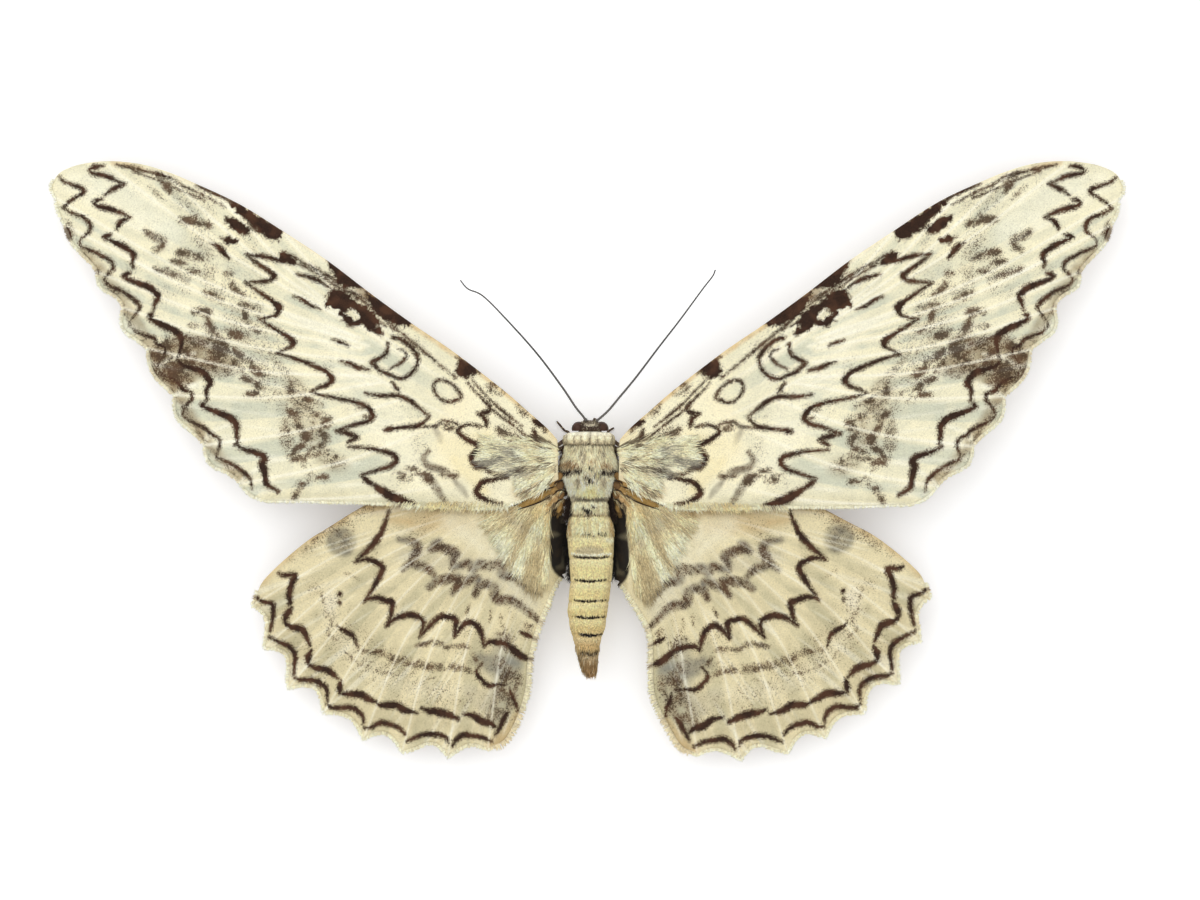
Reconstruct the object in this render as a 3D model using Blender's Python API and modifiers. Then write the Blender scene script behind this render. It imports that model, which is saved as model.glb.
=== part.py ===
"""White witch moth, spread flat and standing on its feet, at life size.

The head points along +Y, the back up along +Z, and the floor is at Z = 0. Places are in
millimetres: u runs outwards from the body's midline, v runs forwards, and z runs up.
"""
import math

import bmesh
import bpy
import numpy as np

# Sizes of the whole moth, in millimetres
MM = 0.001
GAP = 0.30
WING_THICKNESS = 0.60
HALF_SPAN = 134.9
FEELER_RADIUS = 0.32
FOOT_RADIUS = 0.40
RING_POINTS = 20

# Forewing: a gentle arch from the shoulder to the tip
FOREWING_ROOT_HEIGHT = 12.5
FOREWING_RISE = 2.0
FOREWING_DROP = 5.5
FOREWING_ROOT_U = 7.4
FOREWING_REACH = 127.5
FOREWING_ROOT = ((7.4, 4.6), (7.2, -5.4))
FRONT_EDGE = (
    (7.4, 4.6), (10.0, 7.6), (15.0, 12.0), (20.0, 16.4), (27.1, 22.0), (35.0, 27.9),
    (43.9, 33.9), (54.1, 41.3), (65.4, 49.9), (76.3, 57.1), (87.1, 63.8), (98.8, 69.3),
    (105.6, 72.1), (112.3, 74.0), (119.4, 74.7), (125.2, 74.3), (129.5, 73.3), (133.0, 71.5),
    (HALF_SPAN, 68.5),
)
# Notches of the outer edge, with the lobe that follows each: how far it swells, and how
# far that swelling leans towards the notch before it
OUTER_EDGE = (
    ((HALF_SPAN, 68.5), 0.4, 0.0),
    ((133.6, 65.2), 0.6, 0.0),
    ((131.3, 58.4), 1.0, 0.4),
    ((123.1, 46.6), 1.0, 0.9),
    ((116.6, 37.6), 2.6, 0.6),
    ((110.5, 27.4), 1.9, 0.15),
    ((103.7, 15.7), 2.1, 0.7),
    ((96.2, 3.2), 1.7, 0.9),
    ((87.3, -6.5), 1.0, 0.0),
    ((80.5, -10.9), 0.0, 0.0),
)
REAR_EDGE = (
    (80.5, -10.9), (72.0, -11.0), (60.0, -11.3), (50.0, -11.6), (40.0, -12.2), (31.0, -12.6),
    (24.0, -12.6), (17.5, -11.0), (7.2, -5.4),
)

# Hindwing: it starts below the forewing and hangs a little towards its rear edge
HINDWING_BELOW = 1.5
HINDWING_SAG = 3.5
HINDWING_SAG_START = -12.0
HINDWING_SAG_LENGTH = 60.0
HINDWING_ROOT = ((6.6, -6.8), (6.3, -13.3))
FOLD_START_U = 10.0
FOLD_WIDTH = 4.8
FOLD_DEPTH = 6.0
FOLD_FRONT = -8.5
FOLD_RAMP = 4.5
SHOULDER_EDGE = (
    (6.6, -6.8), (13.0, -4.6), (24.0, -3.6), (36.0, -4.4), (47.0, -7.3), (56.5, -11.7),
    (65.0, -16.9), (70.0, -20.0), (75.0, -24.0), (80.0, -28.6), (82.6, -31.9), (84.2, -36.9),
)
SCALLOPS = (
    ((84.2, -36.9), -2.2, -0.5),
    ((81.3, -47.6), -3.4, -0.9),
    ((75.3, -57.8), -3.9, 0.0),
    ((66.5, -64.0), -2.6, 0.0),
    ((56.5, -70.5), -3.05, -0.1),
    ((46.8, -73.8), -2.6, 0.8),
    ((35.3, -75.1), -1.9, 0.2),
    ((25.3, -73.2), 0.0, 0.0),
)
INNER_EDGE = (
    (25.3, -73.2), (21.0, -71.2), (18.3, -67.0), (16.2, -61.5), (15.2, -57.0), (14.9, -52.0),
    (13.8, -46.5), (12.4, -42.0), (10.9, -38.2), (9.4, -34.6), (7.9, -31.6), (6.2, -29.4),
    (5.3, -28.8), (5.3, -21.0), (6.3, -13.3),
)
# The right wings are the left ones mirrored, then drifted: a turn and a shift of the whole
# hindwing, and soft local drifts as (u, v), reach, and the drift in u and v
RIGHT_TURN = math.radians(2.6)
RIGHT_PIVOT = (8.0, -10.0)
RIGHT_SHIFT = (0.3, -1.9)
RIGHT_ROOT_REACH = 18.0
FOREWING_DRIFTS = (
    ((118.0, 72.0), 14.0, (-1.0, 0.0)),
    ((134.0, 66.0), 6.0, (-0.4, -0.3)),
    ((92.0, 67.0), 16.0, (0.0, 0.5)),
    ((66.0, -12.0), 26.0, (0.0, -1.2)),
    ((108.0, 20.0), 16.0, (0.3, -0.3)),
)
HINDWING_DRIFTS = (
    ((15.0, -56.0), 11.0, (-1.7, 0.0)),
    ((26.0, -73.0), 9.0, (-1.0, -0.3)),
    ((66.5, -64.0), 7.0, (0.0, -0.8)),
    ((84.0, -36.0), 8.0, (0.0, 0.4)),
    ((12.0, -41.0), 7.0, (1.4, 0.0)),
    ((72.0, -26.0), 14.0, (0.3, 0.5)),
)

# Body: v, middle x, middle z, half width and half height
BODY_STATIONS = (
    (6.45, 0.20, 9.90, 6.00, 5.00),
    (5.60, 0.10, 9.90, 6.90, 5.60),
    (3.50, 0.10, 9.90, 6.90, 5.90),
    (1.50, 0.15, 9.90, 7.05, 6.30),
    (-1.00, 0.15, 9.90, 7.15, 6.50),
    (-3.50, 0.10, 9.90, 6.95, 6.40),
    (-5.50, 0.05, 9.90, 6.40, 6.20),
    (-7.50, 0.05, 9.90, 5.75, 5.80),
    (-9.00, 0.10, 9.80, 5.20, 5.40),
    (-10.40, 0.15, 9.60, 4.80, 5.00),
    (-13.50, 0.30, 9.30, 5.20, 4.80),
    (-16.00, 0.50, 9.20, 5.80, 5.00),
    (-20.00, 0.55, 9.10, 6.05, 5.10),
    (-25.00, 0.70, 8.90, 5.75, 5.00),
    (-30.00, 0.65, 8.70, 5.35, 4.80),
    (-35.00, 0.10, 8.40, 5.30, 4.60),
    (-38.00, -0.25, 8.20, 5.25, 4.50),
    (-42.00, -0.25, 8.00, 4.65, 4.10),
    (-45.00, -0.35, 7.80, 3.70, 3.50),
    (-48.00, -0.20, 7.60, 2.80, 2.90),
    (-50.50, 0.00, 7.50, 2.35, 2.40),
    (-52.50, 0.25, 7.40, 1.90, 1.90),
    (-54.00, 0.60, 7.30, 1.10, 1.20),
    (-55.00, 0.85, 7.25, 0.35, 0.40),
)
COLLAR_FRONT = 6.45
COLLAR_REAR = 3.60
COLLAR_MIDDLE_X = 0.40
THORAX_REAR = -10.30
WAIST_REAR = -13.50
# Rear edge of each ring of the abdomen
ABDOMEN_BANDS = (-18.9, -24.9, -30.8, -35.8, -39.9, -44.3, -48.4, -55.0)
RING_TUCK = 0.95
SHOULDER_FLAP_INNER = 3.3
SHOULDER_FLAP_LOWER = 11.2
SHOULDER_FLAP_REAR = -8.4
CLASPER_MIDDLE = (-2.70, -49.60, 7.50)
CLASPER_HALF_SIZES = (0.60, 1.15, 0.80)

# Head
HEAD_MIDDLE = (0.40, 7.15, 9.30)
HEAD_HALF_SIZES = (3.10, 2.05, 3.05)
HEAD_REAR = 6.75
EYE_RADIUS = 1.80
EYE_SIDE = 2.85
EYE_FORWARD = 7.35
EYE_HEIGHT = 9.40
PALP_PATH = ((1.05, 8.0, 5.5), (1.20, 9.0, 5.7), (1.15, 9.55, 7.2), (1.05, 9.55, 8.9))
PALP_RADII = (0.42, 0.52, 0.48, 0.25)
TONGUE_MIDDLE = (0.40, 8.10, 4.35)
TONGUE_OUTER = 1.35
TONGUE_INNER = 0.55
TONGUE_TURNS = 1.35
TONGUE_RADIUS = 0.25

# Feelers: from the brow to the tip
LEFT_FEELER = (
    (-0.60, 9.35, 11.30), (-1.50, 10.60, 12.00), (-3.25, 12.75, 12.80), (-6.60, 17.75, 13.80),
    (-12.40, 25.50, 14.60), (-19.00, 33.00, 14.80), (-26.10, 40.25, 14.20),
    (-30.10, 42.25, 13.60), (-32.10, 44.50, 13.20),
)
RIGHT_FEELER = (
    (2.00, 9.30, 11.30), (2.90, 10.00, 12.00), (5.00, 11.90, 12.80), (7.60, 15.00, 13.50),
    (11.90, 20.20, 14.20), (17.50, 27.60, 14.80), (22.70, 34.30, 14.80), (28.60, 42.30, 13.90),
    (31.00, 45.40, 13.40), (31.70, 47.00, 13.20),
)

# Legs: thigh, shank and foot of each, as u, v, z
FRONT_LEG = (
    ((2.6, 4.2, 3.7), (5.2, 2.7, 2.7), (8.4, 2.0, 4.1)),
    ((8.5, 2.7, 3.7), (6.4, 4.2, 1.7), (4.9, 5.2, 0.9)),
)
FRONT_FOOT_LEFT = ((4.6, 5.6, 0.5), (5.2, 6.6, 0.24), (6.1, 7.0, 0.24), (7.9, 9.1, 0.24))
FRONT_FOOT_RIGHT = ((4.6, 5.6, 0.5), (4.9, 6.6, 0.24), (6.2, 7.5, 0.24))
MIDDLE_LEG = (
    ((3.2, -2.5, 3.5), (7.5, -2.6, 3.1), (13.5, -1.0, 6.4)),
    ((14.0, -1.4, 6.0), (15.7, -2.6, 3.5), (17.2, -3.6, 1.1)),
)
MIDDLE_FOOT = ((17.6, -3.9, 0.6), (18.5, -4.5, 0.24), (24.5, -7.5, 0.24))
HIND_LEG = (
    ((3.2, -7.2, 4.1), (7.0, -9.5, 4.4), (12.3, -13.2, 7.0)),
    ((12.7, -13.9, 6.6), (14.0, -19.0, 3.8), (15.3, -24.5, 1.1)),
)
HIND_FOOT = ((15.4, -25.1, 0.6), (15.6, -26.2, 0.24), (17.5, -35.0, 0.24))
THIGH_RADII = (0.60, 0.75, 0.50)
SHANK_RADII = (0.48, 0.50, 0.40)

# Colours seen on the animal
COLOURS = {
    "head_scales": ("4A3A33", 0.85),
    "eye_lens": ("3A2620", 0.30),
    "feeler": ("5A534E", 0.70),
    "palp_scales": ("7A6A5E", 0.85),
    "tongue_skin": ("5C3A22", 0.50),
    "collar_scales": ("E3D9B4", 0.90),
    "thorax_scales": ("C9C0A2", 0.90),
    "shoulder_scales": ("DDD3B2", 0.90),
    "waist_scales": ("A89C82", 0.90),
    "abdomen_scales": ("CDB980", 0.90),
    "forewing_scales": ("EBE5C8", 0.85),
    "hindwing_scales": ("D8CFA9", 0.85),
    "leg_scales": ("5B4A3E", 0.85),
}


def linear(hexadecimal):
    """Linear red, green, blue and alpha of a display colour."""
    shares = [int(hexadecimal[i:i + 2], 16) / 255.0 for i in (0, 2, 4)]
    bent = [s / 12.92 if s <= 0.04045 else ((s + 0.055) / 1.055) ** 2.4 for s in shares]
    return (*bent, 1.0)


def make_materials():
    """One material for each kind of surface."""
    made = {}
    for name, (hexadecimal, roughness) in COLOURS.items():
        material = bpy.data.materials.new(name)
        material.use_nodes = True
        shader = material.node_tree.nodes["Principled BSDF"]
        shader.inputs["Base Color"].default_value = linear(hexadecimal)
        shader.inputs["Roughness"].default_value = roughness
        shader.inputs["Metallic"].default_value = 0.0
        material.diffuse_color = linear(hexadecimal)
        made[name] = material
    return made


def smooth_path(points, steps):
    """Points on a smooth curve through the given ones, with so many steps in each span."""
    p = np.asarray(points, float)
    before = np.vstack([2 * p[0] - p[1], p[:-1]])
    after = np.vstack([p[1:], 2 * p[-1] - p[-2]])
    slope = (after - before) / 2
    found = []
    for i in range(len(p) - 1):
        for t in np.linspace(0.0, 1.0, steps, endpoint=False):
            h = (2 * t**3 - 3 * t**2 + 1, t**3 - 2 * t**2 + t, 3 * t**2 - 2 * t**3, t**3 - t**2)
            found.append(h[0] * p[i] + h[1] * slope[i] + h[2] * p[i + 1] + h[3] * slope[i + 1])
    found.append(p[-1])
    return np.array(found)


def lobed_edge(stations, steps):
    """Edge that swells or sinks between its stations: A sin(pi t) + B sin(2 pi t) off the chord."""
    found = []
    for (a, swell, lean), (b, _, _) in zip(stations[:-1], stations[1:]):
        a, b = np.array(a), np.array(b)
        run = b - a
        side = np.array((-run[1], run[0])) / np.hypot(*run)
        for t in np.linspace(0.0, 1.0, steps, endpoint=False):
            off = swell * math.sin(math.pi * t) + lean * math.sin(2 * math.pi * t)
            found.append(a + run * t + side * off)
    found.append(np.array(stations[-1][0]))
    return np.array(found)


def forewing_height(u, _v=0.0):
    """Height of the forewing's middle layer, which changes only along its length."""
    s = (u - FOREWING_ROOT_U) / FOREWING_REACH
    return FOREWING_ROOT_HEIGHT + FOREWING_RISE * s - FOREWING_DROP * s**2


def hindwing_height(u, v):
    """Height of the hindwing's middle layer, with its fold down beside the abdomen."""
    past = np.clip((HINDWING_SAG_START - v) / HINDWING_SAG_LENGTH, 0.0, None)
    fold = np.clip((FOLD_START_U - u) / FOLD_WIDTH, 0.0, 1.0)
    near = np.clip((FOLD_FRONT - v) / FOLD_RAMP, 0.0, 1.0)
    flat = forewing_height(u) - HINDWING_BELOW - HINDWING_SAG * past**1.5
    return flat - FOLD_DEPTH * fold**1.2 * near


def body_section(v):
    """Middle x, middle z, half width and half height of the body at v."""
    table = np.array(BODY_STATIONS)[::-1]
    return [float(np.interp(v, table[:, 0], table[:, k])) for k in range(1, 5)]


def keep(name, mesh, material, collection, smooth=True):
    """Object of the moth from a finished mesh."""
    mesh.name = name
    mesh.materials.clear()
    mesh.materials.append(material)
    mesh.polygons.foreach_set("use_smooth", [smooth] * len(mesh.polygons))
    thing = bpy.data.objects.new(name, mesh)
    collection.objects.link(thing)
    return thing


def mesh_of(points, faces):
    """Mesh from places in millimetres, with its faces turned outwards."""
    mesh = bpy.data.meshes.new("shape")
    mesh.from_pydata([tuple(float(c) * MM for c in p) for p in points], [], faces)
    work = bmesh.new()
    work.from_mesh(mesh)
    bmesh.ops.recalc_face_normals(work, faces=work.faces)
    work.to_mesh(mesh)
    work.free()
    return mesh


def body_loft(front, rear, fractions, tuck=1.0):
    """Closed stretch of the body between two cuts; its front ring is drawn in by tuck."""
    points, faces = [], []
    for k, share in enumerate(fractions):
        v = front + (rear - front) * share
        x, z, wide, high = body_section(v)
        scale = tuck if k == 0 else 1.0
        for j in range(RING_POINTS):
            turn = 2 * math.pi * j / RING_POINTS
            points.append((x + scale * wide * math.sin(turn), v, z + scale * high * math.cos(turn)))
    for k in range(len(fractions) - 1):
        for j in range(RING_POINTS):
            a, b = k * RING_POINTS + j, k * RING_POINTS + (j + 1) % RING_POINTS
            faces.append((a, b, b + RING_POINTS, a + RING_POINTS))
    last = (len(fractions) - 1) * RING_POINTS
    faces.append(tuple(range(RING_POINTS)))
    faces.append(tuple(range(last, last + RING_POINTS)))
    return mesh_of(points, faces)


def box_cutter(low, high, collection):
    """Box between two corners, used only to cut."""
    points = [(x, y, z) for x in (low[0], high[0]) for y in (low[1], high[1]) for z in (low[2], high[2])]
    faces = [(0, 1, 3, 2), (4, 6, 7, 5), (0, 4, 5, 1), (2, 3, 7, 6), (0, 2, 6, 4), (1, 5, 7, 3)]
    return cutter_object("box_cutter", mesh_of(points, faces), collection)


def cutter_object(name, mesh, collection):
    """Cutter that is never drawn."""
    thing = bpy.data.objects.new(name, mesh)
    thing.hide_render = True
    thing.display_type = "WIRE"
    collection.objects.link(thing)
    return thing


def ball(middle, half_sizes, around, along):
    """Mesh of a ball, scaled to the half sizes and moved to its middle."""
    mesh = bpy.data.meshes.new("ball")
    work = bmesh.new()
    bmesh.ops.create_uvsphere(work, u_segments=around, v_segments=along, radius=1.0)
    for vertex in work.verts:
        vertex.co = [(m + s * c) * MM for m, s, c in zip(middle, half_sizes, vertex.co)]
    bmesh.ops.recalc_face_normals(work, faces=work.faces)
    work.to_mesh(mesh)
    work.free()
    return mesh


def apply_boolean(thing, cutter, operation):
    """Cut, join or cross a body with another, and keep the result as plain mesh."""
    modifier = thing.modifiers.new("cut", "BOOLEAN")
    modifier.operation = operation
    modifier.solver = "EXACT"
    modifier.object = cutter
    bpy.context.view_layer.update()
    graph = bpy.context.evaluated_depsgraph_get()
    made = bpy.data.meshes.new_from_object(thing.evaluated_get(graph))
    thing.modifiers.remove(modifier)
    old = thing.data
    thing.data = made
    bpy.data.meshes.remove(old)
    return thing


def tube(path, radii, fineness=1, floor=False):
    """Closed round tube along a path; on the floor its underside is a flat at zero."""
    curve = bpy.data.curves.new("path", "CURVE")
    curve.dimensions = "3D"
    curve.bevel_depth = MM
    curve.bevel_resolution = fineness
    curve.use_fill_caps = True
    spline = curve.splines.new("POLY")
    spline.points.add(len(path) - 1)
    for point, place, radius in zip(spline.points, path, radii):
        point.co = (*(float(c) * MM for c in place), 1.0)
        point.radius = float(radius)
    holder = bpy.data.objects.new("path", curve)
    bpy.context.scene.collection.objects.link(holder)
    bpy.context.view_layer.update()
    graph = bpy.context.evaluated_depsgraph_get()
    mesh = bpy.data.meshes.new_from_object(holder.evaluated_get(graph))
    bpy.data.objects.remove(holder)
    bpy.data.curves.remove(curve)
    work = bmesh.new()
    work.from_mesh(mesh)
    bmesh.ops.remove_doubles(work, verts=work.verts, dist=0.000001)
    if floor:
        for vertex in work.verts:
            vertex.co.z = max(vertex.co.z, 0.0)
    bmesh.ops.recalc_face_normals(work, faces=work.faces)
    work.to_mesh(mesh)
    work.free()
    return mesh


def wing_sheet(root, outline, rows, height, side):
    """Open surface that fans out from the wing's root to its outline."""
    share = np.linspace(0.0, 1.0, len(outline))[:, None]
    start = np.array(root[0]) * (1 - share) + np.array(root[1]) * share
    points, faces = [], []
    for row in rows:
        place = start * (1 - row) + outline * row
        z = height(place[:, 0], place[:, 1])
        points += [(side * u, v, h) for (u, v), h in zip(place, z)]
    n = len(outline)
    for r in range(len(rows) - 1):
        for c in range(n - 1):
            a = r * n + c
            faces.append((a, a + 1, a + n + 1, a + n))
    return mesh_of(points, faces)


def add_wing(name, mesh, material, collection):
    """Wing of even thickness about its middle layer."""
    wing = keep(name, mesh, material, collection)
    solid = wing.modifiers.new("thickness", "SOLIDIFY")
    solid.thickness = WING_THICKNESS * MM
    solid.offset = 0.0
    solid.use_rim = True
    return wing


def drifted(line, drifts):
    """Places moved by soft local drifts, each fading as a bell curve over its reach."""
    moved = line.copy()
    for middle, reach, drift in drifts:
        away = ((line - np.array(middle)) ** 2).sum(axis=1)
        moved += np.exp(-away / reach**2)[:, None] * np.array(drift)
    return moved


def forewing_outline(side):
    """Outline from the front of the root, round the tip, to the rear of the root."""
    line = np.vstack([FRONT_EDGE[:-1], lobed_edge(OUTER_EDGE, 5)[:-1], REAR_EDGE])
    return drifted(line, FOREWING_DRIFTS) if side > 0 else line


def hindwing_outline(side):
    """Outline from the shoulder, round the scallops, to the fold beside the abdomen."""
    line = np.vstack([SHOULDER_EDGE[:-1], lobed_edge(SCALLOPS, 6)[:-1], INNER_EDGE])
    if side < 0:
        return line
    pivot = np.array(RIGHT_PIVOT)
    arm = line - pivot
    c, s = math.cos(RIGHT_TURN), math.sin(RIGHT_TURN)
    turned = np.column_stack([arm[:, 0] * c - arm[:, 1] * s, arm[:, 0] * s + arm[:, 1] * c])
    near = np.clip((np.hypot(arm[:, 0], arm[:, 1]) - 4.0) / RIGHT_ROOT_REACH, 0.0, 1.0)[:, None]
    moved = drifted(line, HINDWING_DRIFTS) - line + turned - arm + np.array(RIGHT_SHIFT)
    return line + near * moved


def leg(name, path, radii, material, collection, side, floor=False):
    """One length of a leg on the given side."""
    places = [(side * u, v, z) for u, v, z in path]
    return keep(name, tube(places, radii, 2 if floor else 1, floor), material, collection)


def build_wings(look, collection):
    """The two forewings and two hindwings."""
    for word, side in (("left", -1), ("right", 1)):
        sheet = wing_sheet(
            FOREWING_ROOT, forewing_outline(side), (0.0, 0.3, 0.65, 1.0), forewing_height, side
        )
        add_wing("forewing_" + word, sheet, look["forewing_scales"], collection)
        rows = (0.0, 0.12, 0.3, 0.6, 1.0)
        sheet = wing_sheet(HINDWING_ROOT, hindwing_outline(side), rows, hindwing_height, side)
        add_wing("hindwing_" + word, sheet, look["hindwing_scales"], collection)


def build_trunk(look, collection, cutters):
    """Collar, thorax, shoulder flaps, waist and the rings of the abdomen."""
    whole = body_loft(COLLAR_FRONT, COLLAR_REAR, (0.0, 0.12, 0.35, 1.0))
    for word, side in (("left", -1), ("right", 1)):
        plate = keep("collar_" + word, whole.copy(), look["collar_scales"], collection)
        edge = COLLAR_MIDDLE_X + side * GAP / 2
        low = (min(edge, side * 20.0), -20.0, -20.0)
        high = (max(edge, side * 20.0), 20.0, 40.0)
        apply_boolean(plate, box_cutter(low, high, cutters), "INTERSECT")
    bpy.data.meshes.remove(whole)
    steps = (0.0, 0.12, 0.3, 0.48, 0.63, 0.78, 0.9, 1.0)
    front = COLLAR_REAR - GAP
    thorax = keep("thorax", body_loft(front, THORAX_REAR, steps), look["thorax_scales"], collection)
    for word, side in (("left", -1), ("right", 1)):
        flap = keep("tegula_" + word, thorax.data.copy(), look["shoulder_scales"], collection)
        sides = sorted((side * SHOULDER_FLAP_INNER, side * 20.0))
        low = (sides[0], SHOULDER_FLAP_REAR, SHOULDER_FLAP_LOWER)
        high = (sides[1], 20.0, 40.0)
        apply_boolean(flap, box_cutter(low, high, cutters), "INTERSECT")
    for side in (-1, 1):
        sides = sorted((side * (SHOULDER_FLAP_INNER - GAP), side * 20.0))
        low = (sides[0], SHOULDER_FLAP_REAR - GAP, SHOULDER_FLAP_LOWER - GAP)
        high = (sides[1], 20.0, 40.0)
        apply_boolean(thorax, box_cutter(low, high, cutters), "DIFFERENCE")
    waist = body_loft(THORAX_REAR - GAP, WAIST_REAR, (0.0, 0.4, 1.0))
    keep("metathorax", waist, look["waist_scales"], collection)
    start = WAIST_REAR
    for number, end in enumerate(ABDOMEN_BANDS, 1):
        last = number == len(ABDOMEN_BANDS)
        steps = (0.0, 0.15, 0.35, 0.6, 0.85, 1.0) if last else (0.0, 0.15, 0.55, 1.0)
        ring = body_loft(start - GAP, end, steps, RING_TUCK)
        ring = keep(f"abdomen_{number}", ring, look["abdomen_scales"], collection)
        if last:
            lobe = ball(CLASPER_MIDDLE, CLASPER_HALF_SIZES, 10, 6)
            apply_boolean(ring, cutter_object("clasper", lobe, cutters), "UNION")
        start = end


def build_head(look, collection, cutters):
    """Head, eyes, palps, rolled tongue and feelers."""
    head = ball(HEAD_MIDDLE, HEAD_HALF_SIZES, 18, 12)
    head = keep("head", head, look["head_scales"], collection)
    apply_boolean(head, box_cutter((-20, -20, -20), (20, HEAD_REAR, 40), cutters), "DIFFERENCE")
    for word, side in (("left", -1), ("right", 1)):
        middle = (HEAD_MIDDLE[0] + side * EYE_SIDE, EYE_FORWARD, EYE_HEIGHT)
        room = EYE_RADIUS + GAP
        socket = ball(middle, (room, room, room), 14, 10)
        apply_boolean(head, cutter_object("socket", socket, cutters), "DIFFERENCE")
        eye = ball(middle, (EYE_RADIUS, EYE_RADIUS, EYE_RADIUS), 16, 10)
        eye = keep("eye_" + word, eye, look["eye_lens"], collection)
        rear = box_cutter((-20, -20, -20), (20, HEAD_REAR, 40), cutters)
        apply_boolean(eye, rear, "DIFFERENCE")
        path = [(HEAD_MIDDLE[0] + side * u, v, z) for u, v, z in PALP_PATH]
        keep("palp_" + word, tube(path, PALP_RADII), look["palp_scales"], collection)
    for word, path in (("left", LEFT_FEELER), ("right", RIGHT_FEELER)):
        line = smooth_path(path, 3)
        half = len(line) // 2
        sizes = [FEELER_RADIUS * (1.35 - 0.35 * min(1.0, k / 6)) for k in range(half)]
        keep("antenna_base_" + word, tube(line[:half], sizes), look["feeler"], collection)
        run = line[half] - line[half - 1]
        line[half - 1] += run * GAP / np.linalg.norm(run)
        tip = line[half - 1:]
        sizes = np.linspace(FEELER_RADIUS, 0.25, len(tip))
        keep("antenna_tip_" + word, tube(tip, sizes), look["feeler"], collection)
    turns = np.linspace(0.0, 1.0, 16)
    radius = TONGUE_OUTER + (TONGUE_INNER - TONGUE_OUTER) * turns
    angle = math.pi / 2 - 2 * math.pi * TONGUE_TURNS * turns
    x, y, z = TONGUE_MIDDLE
    coil = [(x, y + r * math.cos(a), z + r * math.sin(a)) for r, a in zip(radius, angle)]
    sizes = [TONGUE_RADIUS] * len(coil)
    keep("proboscis", tube(coil, sizes), look["tongue_skin"], collection)


def build_legs(look, collection):
    """Six legs, each as thigh, shank and foot."""
    skin = look["leg_scales"]
    for word, side in (("left", -1), ("right", 1)):
        front_foot = FRONT_FOOT_LEFT if side < 0 else FRONT_FOOT_RIGHT
        for pair, lengths, foot in (
            ("front", FRONT_LEG, front_foot),
            ("middle", MIDDLE_LEG, MIDDLE_FOOT),
            ("hind", HIND_LEG, HIND_FOOT),
        ):
            leg(f"leg_{pair}_{word}_thigh", lengths[0], THIGH_RADII, skin, collection, side)
            leg(f"leg_{pair}_{word}_shank", lengths[1], SHANK_RADII, skin, collection, side)
            sizes = [FOOT_RADIUS] * len(foot)
            leg(f"leg_{pair}_{word}_foot", foot, sizes, skin, collection, side, True)


def main():
    """Build the moth."""
    for thing in list(bpy.data.objects):
        bpy.data.objects.remove(thing)
    collection = bpy.data.collections.new("white_witch_moth")
    cutters = bpy.data.collections.new("cutters")
    bpy.context.scene.collection.children.link(collection)
    bpy.context.scene.collection.children.link(cutters)
    look = make_materials()
    build_head(look, collection, cutters)
    build_trunk(look, collection, cutters)
    build_wings(look, collection)
    build_legs(look, collection)
    cutters.hide_render = True


main()
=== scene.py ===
"""Spread white witch moth at life size: scaled wings, furry body, feelers and legs.

Places are in millimetres until a mesh is made: u runs outwards from the body's midline (x runs to
the moth's right), v runs forwards, and z runs up from the floor.
"""
from __future__ import annotations

import logging
import math
from dataclasses import dataclass, field
from enum import Enum
from functools import partial

import bpy
import numpy as np
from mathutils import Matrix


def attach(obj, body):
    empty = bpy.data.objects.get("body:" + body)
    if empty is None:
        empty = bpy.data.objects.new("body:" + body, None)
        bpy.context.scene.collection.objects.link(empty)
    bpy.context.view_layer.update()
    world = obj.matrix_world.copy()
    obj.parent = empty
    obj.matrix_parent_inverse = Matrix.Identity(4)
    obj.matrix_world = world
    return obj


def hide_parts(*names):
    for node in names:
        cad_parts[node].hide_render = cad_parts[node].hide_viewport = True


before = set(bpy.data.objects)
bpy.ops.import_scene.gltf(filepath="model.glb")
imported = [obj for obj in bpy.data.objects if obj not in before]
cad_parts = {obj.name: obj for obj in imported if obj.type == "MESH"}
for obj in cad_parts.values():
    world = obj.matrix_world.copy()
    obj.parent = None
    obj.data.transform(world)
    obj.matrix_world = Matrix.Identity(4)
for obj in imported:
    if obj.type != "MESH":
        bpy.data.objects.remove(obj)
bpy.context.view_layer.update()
LOG = logging.getLogger("moth")
Array = np.ndarray
Input = bpy.types.NodeSocket | float
MM = 0.001
PER_METRE = 1000.0
TINY = 1e-9
OFF_LINE = -3.0
UV_EDGE, UV_SPAN = 0.02, 0.96
FULL_TURN = 2.0 * math.pi


class Side(Enum):
    """The moth's left or right, as the sign of x."""

    LEFT = -1
    RIGHT = 1

    @property
    def word(self) -> str:
        """Name of the side in node names."""
        return self.name.lower()


def linear(text: str) -> Array:
    """Linear red, green and blue of an sRGB hex colour.

    Args:
        text: Six hexadecimal digits.

    Returns:
        Three linear shares: s / 12.92 below 0.04045, else ((s + 0.055) / 1.055) ** 2.4.
    """
    s = np.array([int(text[i:i + 2], 16) for i in (0, 2, 4)]) / 255.0
    return np.where(s <= 0.04045, s / 12.92, ((s + 0.055) / 1.055) ** 2.4)


def ramp(value: Array, low: float, high: float) -> Array:
    """Smooth step from 0 at low to 1 at high: 3 t^2 - 2 t^3.

    Args:
        value: Numbers to place on the step.
        low: Where the step starts.
        high: Where the step ends.

    Returns:
        Shares between 0 and 1.
    """
    t = np.clip((value - low) / (high - low), 0.0, 1.0)
    return t * t * (3.0 - 2.0 * t)


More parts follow.
